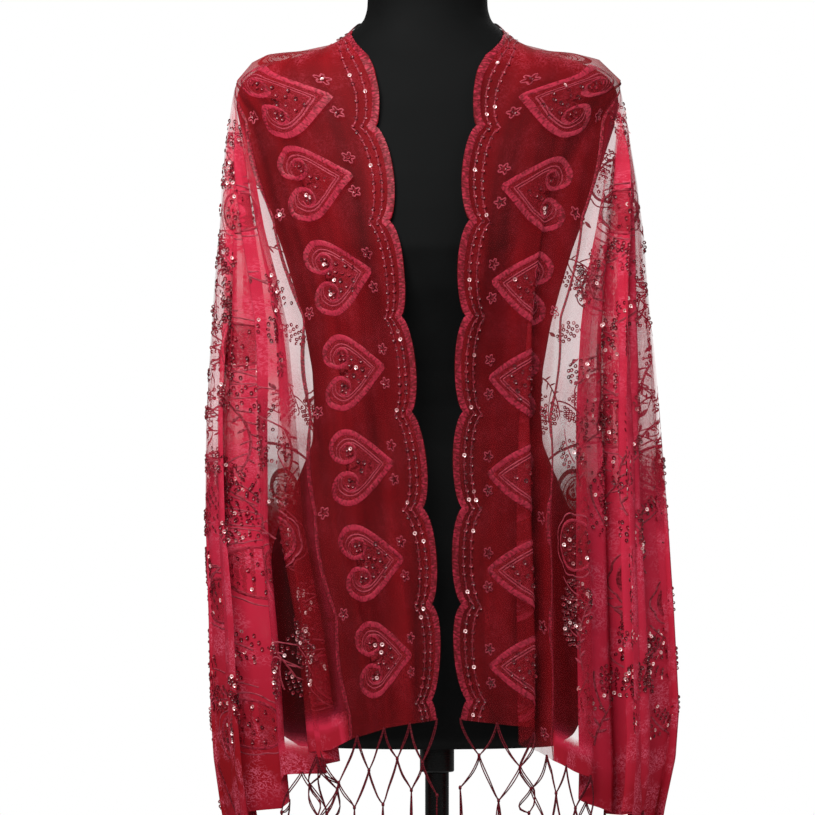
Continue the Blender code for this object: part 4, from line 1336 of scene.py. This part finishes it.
def fringe_threads(side, sizes, rng):
    """A net of paired threads knotted twice under the hem, ending in tassels."""
    tubes = Tubes()
    ends = np.linspace(2 * MM, WIDTH - 4 * MM, 400)
    hem, _ = laid(np.full_like(ends, side.sign * (HALF_LENGTH - 1 * MM)), ends)

    def below(w, drop, lean=0.0):
        spot = np.stack([np.interp(w, ends, hem[:, c]) for c in range(3)], -1)
        spot[..., 1] += lean
        spot[..., 2] -= drop
        return spot

    cells = round((ends[-1] - ends[0]) / sizes.fringe_cell)
    cell = (ends[-1] - ends[0]) / cells
    tops = ends[0] + cell * np.arange(cells + 1)
    rows = [(tops, np.full(cells + 1, -1.0 * MM))]
    for level in (1, 2):
        spots = (tops[:-1] + cell / 2) if level == 1 else tops
        stray = rng.uniform(-5, 5, len(spots)) * MM
        stray[[0, -1]] = 0
        rows.append((spots + stray, level * sizes.fringe_drop + rng.uniform(-6, 6, len(spots)) * MM))
    share = np.linspace(0, 1, 9)
    knot = np.linspace(-1, 1, 6)
    swell = sizes.thread_width * (0.35 + 0.85 * np.sqrt(np.maximum(0, 1 - knot**2)))
    for level in (0, 1):
        (upper, high), (lower, low) = rows[level], rows[level + 1]
        for i, w in enumerate(lower):
            near = [j for j in (i - 1, i, i + 1) if 0 <= j < len(upper) and abs(upper[j] - w) < cell * 0.8]
            for j in near:
                slack = rng.uniform(0.3, 2.4) * MM
                for twin in (-1, 1):
                    bow = np.sin(share * math.pi) * (slack * np.sign(upper[j] - w) + rng.uniform(0.3, 1.3) * MM * twin)
                    across = upper[j] + (w - upper[j]) * share**1.2 + bow + twin * 0.5 * MM * (1 - share)
                    drop = high[j] + (low[i] - high[j]) * share
                    tubes.add(below(across, drop, 0.5 * MM * twin), sizes.thread_width / 2, 5)
            tubes.add(below(np.full(6, w), low[i] + knot * 2.4 * MM), swell, 7)
    for w, top in zip(*rows[2]):
        for k in range(6):
            spread = (k - 2.5) / 2.5 * 4.2 * MM
            wander = rng.uniform(-1.6, 1.6) * MM
            across = w + spread * share**0.7 + wander * np.sin(share * math.pi * 1.4)
            length = sizes.fringe_length + rng.uniform(-7, 0) * MM - top
            lean = rng.uniform(-2.6, 2.6) * MM * share**0.8
            tubes.add(below(across, top + length * share, lean), sizes.thread_width / 2 * (1 - 0.25 * share), 5)
    return tubes


def form_rings():
    """The form's padded cover as rings of points, its profile smoothed."""
    heights = np.concatenate([[860.0], np.arange(861.5, 1698, 3.0), [1699.0, 1700.0]])
    turn = np.arange(112) / 112 * 2 * math.pi
    rings = []
    for z in heights:
        taps = [np.interp(np.clip(z + t, 860, 1700), FORM_COLUMNS[0], FORM_COLUMNS[k]) for k in (1, 2, 3)
                for t in (-5, -2.5, 0, 2.5, 5)]
        half, front, back = np.array(taps).reshape(3, 5) @ np.array([1, 2, 3, 2, 1]) / 9
        fuller = math.exp(-(((z - NECK_FOOT) / NECK_FOOT_REACH) ** 2))
        half, raised = half + NECK_FOOT_SIDE * fuller, z + NECK_FOOT_RISE * fuller
        blend = 0.5 + 0.5 * np.sin(turn)
        depth = np.where(np.sin(turn) < 0, front, back) * 0.6 + (front * (1 - blend) + back * blend) * 0.4
        rings.append(np.stack([half * np.cos(turn), depth * np.sin(turn), np.full_like(turn, raised)], -1) * MM)
    return np.array(rings)


def closed_loft(rings):
    """Points and faces of a closed body through rings, with a cap at each end."""
    rows, sides = rings.shape[:2]
    at = np.arange(rows * sides).reshape(rows, sides)
    after = np.roll(at, -1, axis=1)
    quads = np.stack([at[:-1], after[:-1], after[1:], at[1:]], -1).reshape(-1, 4)
    return rings.reshape(-1, 3), [quads, at[0][None, ::-1], at[-1][None, :]]


def turned_bar(name, node, radius, rim, material, x):
    """A smooth round bar or plate in the place of a CAD node, with its rims rounded."""
    low, high = (np.array(corner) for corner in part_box(node))
    bpy.ops.object.select_all(action="DESELECT")
    middle = (low[2] + high[2]) / 2
    bpy.ops.mesh.primitive_cylinder_add(vertices=96, radius=radius, depth=high[2] - low[2],
                                        location=(x, (low[1] + high[1]) / 2, middle))
    made = bpy.context.object
    made.name = made.data.name = name
    bevel = made.modifiers.new("rim", "BEVEL")
    bevel.width, bevel.segments, bevel.limit_method = rim, 4, "ANGLE"
    bpy.ops.object.modifier_apply(modifier="rim")
    bpy.ops.object.transform_apply(location=True, rotation=True, scale=True)
    bpy.ops.object.shade_smooth_by_angle(angle=math.radians(30))
    made.data.materials.append(material)
    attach(made, "root")
    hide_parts(node)
    return made


class ShawlSizes(bpy.types.PropertyGroup):
    edge_width: bpy.props.FloatProperty(
        name="Edge width", description="Width of the satin along the scallops", default=0.0075, unit="LENGTH")
    satin_width: bpy.props.FloatProperty(
        name="Satin width", description="Widest satin thread of a heart", default=0.0060, unit="LENGTH")
    fringe_cell: bpy.props.FloatProperty(
        name="Fringe cell", description="Width of a cell of the knotted fringe", default=0.045, unit="LENGTH")
    fringe_drop: bpy.props.FloatProperty(
        name="Knot drop", description="Height from one row of knots to the next", default=0.037, unit="LENGTH")
    fringe_length: bpy.props.FloatProperty(
        name="Fringe length", description="Hem to the tassels' ends", default=0.147, unit="LENGTH")
    thread_width: bpy.props.FloatProperty(
        name="Thread width", description="Thickness of one fringe thread", default=0.0014, unit="LENGTH")


class ShawlColours(bpy.types.PropertyGroup):
    tulle_cover: bpy.props.FloatProperty(
        name="Tulle cover", description="Share of the light that plain tulle stops", default=0.25, subtype="FACTOR")
    tulle: bpy.props.FloatVectorProperty(
        name="Tulle", description="Colour of the plain tulle", default=(0.66, 0.026, 0.066), subtype="COLOR")
    worked: bpy.props.FloatVectorProperty(
        name="Worked lace", description="Colour of the crinkled threads on the gathered sides",
        default=(0.80, 0.13, 0.21), subtype="COLOR")
    # painted shade: the darker tulle colour of the borders, of the cloth in the form's shade and of the closest cloth
    # near the hems; the stitched ground's gaps take it too
    tulle_shade: bpy.props.FloatVectorProperty(
        name="Shaded tulle", description="Colour of the tulle in the borders", default=(0.37, 0.008, 0.014),
        subtype="COLOR")
    satin: bpy.props.FloatVectorProperty(
        name="Satin thread", description="Colour of the satin in the shade", default=(0.15, 0.005, 0.010),
        subtype="COLOR")
    satin_light: bpy.props.FloatVectorProperty(
        name="Lit satin", description="Colour of the satin where it shines", default=(0.52, 0.028, 0.062),
        subtype="COLOR")
    # the chain thread's shaded copy; chain_light is its lit copy, and painted highlight mixes the two
    chain: bpy.props.FloatVectorProperty(
        name="Chain thread", description="Colour of the chain stitches", default=(0.20, 0.010, 0.018),
        subtype="COLOR")
    chain_light: bpy.props.FloatVectorProperty(
        name="Lit chain thread", description="Colour of the chain stitches where they shine",
        default=(0.55, 0.07, 0.11), subtype="COLOR")
    sequin: bpy.props.FloatVectorProperty(
        name="Sequin", description="Colour of the darkest sequins", default=(0.05, 0.002, 0.004), subtype="COLOR")
    sequin_warm: bpy.props.FloatVectorProperty(
        name="Red sequin", description="Colour of the reddest sequins", default=(0.34, 0.014, 0.03),
        subtype="COLOR")
    # painted glint: colour and faint glow of the few brightest sequins
    sequin_glint: bpy.props.FloatVectorProperty(
        name="Sequin glint", description="Colour of the brightest sequins", default=(0.95, 0.62, 0.62),
        subtype="COLOR")
    fringe: bpy.props.FloatVectorProperty(
        name="Fringe", description="Colour of the fringe in the shade", default=(0.05, 0.005, 0.008),
        subtype="COLOR")
    fringe_light: bpy.props.FloatVectorProperty(
        name="Lit fringe", description="Colour of the fringe where it is lit", default=(0.26, 0.014, 0.028),
        subtype="COLOR")
    form: bpy.props.FloatVectorProperty(
        name="Form cover", description="Colour of the form's jersey", default=(0.004, 0.0042, 0.0042),
        subtype="COLOR")
    studio: bpy.props.FloatProperty(
        name="Studio light", description="Strength of the even light from all round", default=0.17)
    steel: bpy.props.FloatVectorProperty(
        name="Stand", description="Colour of the painted steel", default=(0.012, 0.012, 0.0115), subtype="COLOR")


class SHAWL_OT_cloth(bpy.types.Operator):
    """Drape the sheer cloth"""

    bl_idname = "shawl.cloth"
    bl_label = "Cloth"

    def execute(self, context):
        flat, faces = cloth_mesh()
        points, _ = laid(flat[:, 0], flat[:, 1])
        made = piece("shawl_cloth", points, by_size(faces), tulle_look(context.scene.shawl_colours), uv=flat,
                     own=gathered_close(flat[:, 0], flat[:, 1]), thin=gathered_thin(flat[:, 0], flat[:, 1]))
        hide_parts("shawl_left", "shawl_right", "shawl_back")
        return {"FINISHED"}


class SHAWL_OT_needlework(bpy.types.Operator):
    """Lay the satin borders, hearts, chain lines, leaves and sequins on the cloth"""

    bl_idname = "shawl.needlework"
    bl_label = "Needlework"

    def execute(self, context):
        colours = context.scene.shawl_colours
        work = Needlework()
        sew_borders(work, context.scene.shawl_sizes)
        sew_hearts(work, context.scene.shawl_sizes)
        sew_field(work)
        thin_out(work)
        for kind, name, tones, stitch, crown, ragged in (
            ("satin", "satin_needlework", (colours.satin, colours.satin_light), 1.9 * MM, 0.8, 0.36),
            ("chain", "chain_needlework", (colours.chain, colours.chain_light), 2.2 * MM, 0.6, 0.45),
            ("leaf", "leaf_needlework", (colours.satin, colours.chain_light), 0.9 * MM, 0.7, 0.2),
        ):
            points, faces, uv, lit = work.laid_runs(kind, crown)
            made = piece(name, points, faces, thread_look(f"{kind}_thread", *tones, stitch, ragged), uv=uv, own=lit)
        points, faces, uv = work.laid_grounds()
        piece("stitched_ground", points, faces, ground_look(colours), uv=uv)
        points, faces, own = work.laid_sequins(np.random.default_rng(11))
        piece("sequins", points, faces, sequin_look(colours), own=own)
        return {"FINISHED"}


class SHAWL_OT_fringe(bpy.types.Operator):
    """Knot the net fringe under both hems"""

    bl_idname = "shawl.fringe"
    bl_label = "Fringe"

    def execute(self, context):
        colours = context.scene.shawl_colours
        material = thread_look("fringe_thread", colours.fringe, colours.fringe_light, 1.2 * MM, 0.0)
        for name, node, side, seed in (("fringe_net_left", "fringe_left", LEFT_SIDE, 3),
                                       ("fringe_net_right", "fringe_right", RIGHT_SIDE, 4)):
            tubes = fringe_threads(side, context.scene.shawl_sizes, np.random.default_rng(seed))
            made = piece(name, np.concatenate(tubes.points), [np.concatenate(tubes.faces)], material,
                         uv=np.concatenate(tubes.flat), own=np.full(tubes.count, 0.6))
            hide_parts(node)
        return {"FINISHED"}


class SHAWL_OT_form(bpy.types.Operator):
    """Build the form's cover, its neck cap and the stand"""

    bl_idname = "shawl.form"
    bl_label = "Form and stand"

    def execute(self, context):
        colours = context.scene.shawl_colours
        cover, steel = cover_look(colours), steel_look(colours)
        points, faces = closed_loft(form_rings())
        made = piece("form_cover", points, faces, cover)
        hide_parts("form_torso")
        for name, node, radius, rim, material, x, slot in (
            ("neck_cap", "form_neck_cap", 0.0595, 3 * MM, cover, 0.0, "form"),
            ("collar_ring", "form_collar", 0.018, 1.5 * MM, steel, POLE_X, "stand"),
            ("pole_tube", "stand_pole", 0.0125, 1 * MM, steel, POLE_X, "stand"),
            ("base_plate", "stand_base", 0.15, 3 * MM, steel, POLE_X, "stand"),
        ):
            turned_bar(name, node, radius, rim, material, x)
        return {"FINISHED"}


class SHAWL_OT_stage(bpy.types.Operator):
    """Set the floor, the light and the camera"""

    bl_idname = "shawl.stage"
    bl_label = "Stage"

    def execute(self, context):
        scene = context.scene
        bpy.ops.object.select_all(action="DESELECT")
        bpy.ops.mesh.primitive_cylinder_add(vertices=128, radius=1.6, depth=0.02, location=(0, 0, -0.0105))
        floor = context.object
        floor.name = "floor"
        floor.data.materials.append(floor_look())
        world = bpy.data.worlds.new("studio")
        world.use_nodes = True
        background = world.node_tree.nodes["Background"]
        background.inputs["Color"].default_value = (1, 1, 1, 1)
        seen = Shade(world.node_tree).node("ShaderNodeLightPath", {})
        seen.feed(background.inputs["Strength"], seen * (1.0 - scene.shawl_colours.studio) + scene.shawl_colours.studio)
        scene.world = world
        for name, size, power, place, aim in LIGHTS:
            light = bpy.data.lights.new(name, "AREA")
            light.size, light.energy = size, power
            lamp = bpy.data.objects.new(name, light)
            scene.collection.objects.link(lamp)
            lamp.location = place
            lamp.rotation_euler = (mathutils.Vector(aim) - lamp.location).to_track_quat("-Z", "Y").to_euler()
        lens = bpy.data.cameras.new("photo_view")
        lens.sensor_width = 36
        lens.lens = -CAMERA[1] * lens.sensor_width / VIEW_WIDTH
        camera = bpy.data.objects.new("photo_view", lens)
        scene.collection.objects.link(camera)
        camera.location = CAMERA
        camera.rotation_euler = (math.pi / 2, 0, 0)
        scene.camera = camera
        scene.view_settings.view_transform = "Standard"
        scene.cycles.transparent_max_bounces = 48
        return {"FINISHED"}


class SHAWL_PT_panel(bpy.types.Panel):
    """Sizes, colours and the pieces to make"""

    bl_label = "Sequin shawl"
    bl_idname = "SHAWL_PT_panel"
    bl_space_type = "VIEW_3D"
    bl_region_type = "UI"
    bl_category = "Shawl"

    def draw(self, context):
        for group in (context.scene.shawl_sizes, context.scene.shawl_colours):
            column = self.layout.column()
            for name in group.__annotations__:
                column.prop(group, name)
        for operator in OPERATORS:
            self.layout.operator(operator.bl_idname)


OPERATORS = (SHAWL_OT_cloth, SHAWL_OT_needlework, SHAWL_OT_fringe, SHAWL_OT_form, SHAWL_OT_stage)
CLASSES = (ShawlSizes, ShawlColours, *OPERATORS, SHAWL_PT_panel)


def register():
    for cls in CLASSES:
        bpy.utils.register_class(cls)
    bpy.types.Scene.shawl_sizes = bpy.props.PointerProperty(type=ShawlSizes)
    bpy.types.Scene.shawl_colours = bpy.props.PointerProperty(type=ShawlColours)


def unregister():
    del bpy.types.Scene.shawl_sizes
    del bpy.types.Scene.shawl_colours
    for cls in reversed(CLASSES):
        bpy.utils.unregister_class(cls)


def main():
    register()
    bpy.ops.shawl.cloth()
    bpy.ops.shawl.needlework()
    bpy.ops.shawl.fringe()
    bpy.ops.shawl.form()
    bpy.ops.shawl.stage()


if __name__ == "__main__":
    main()
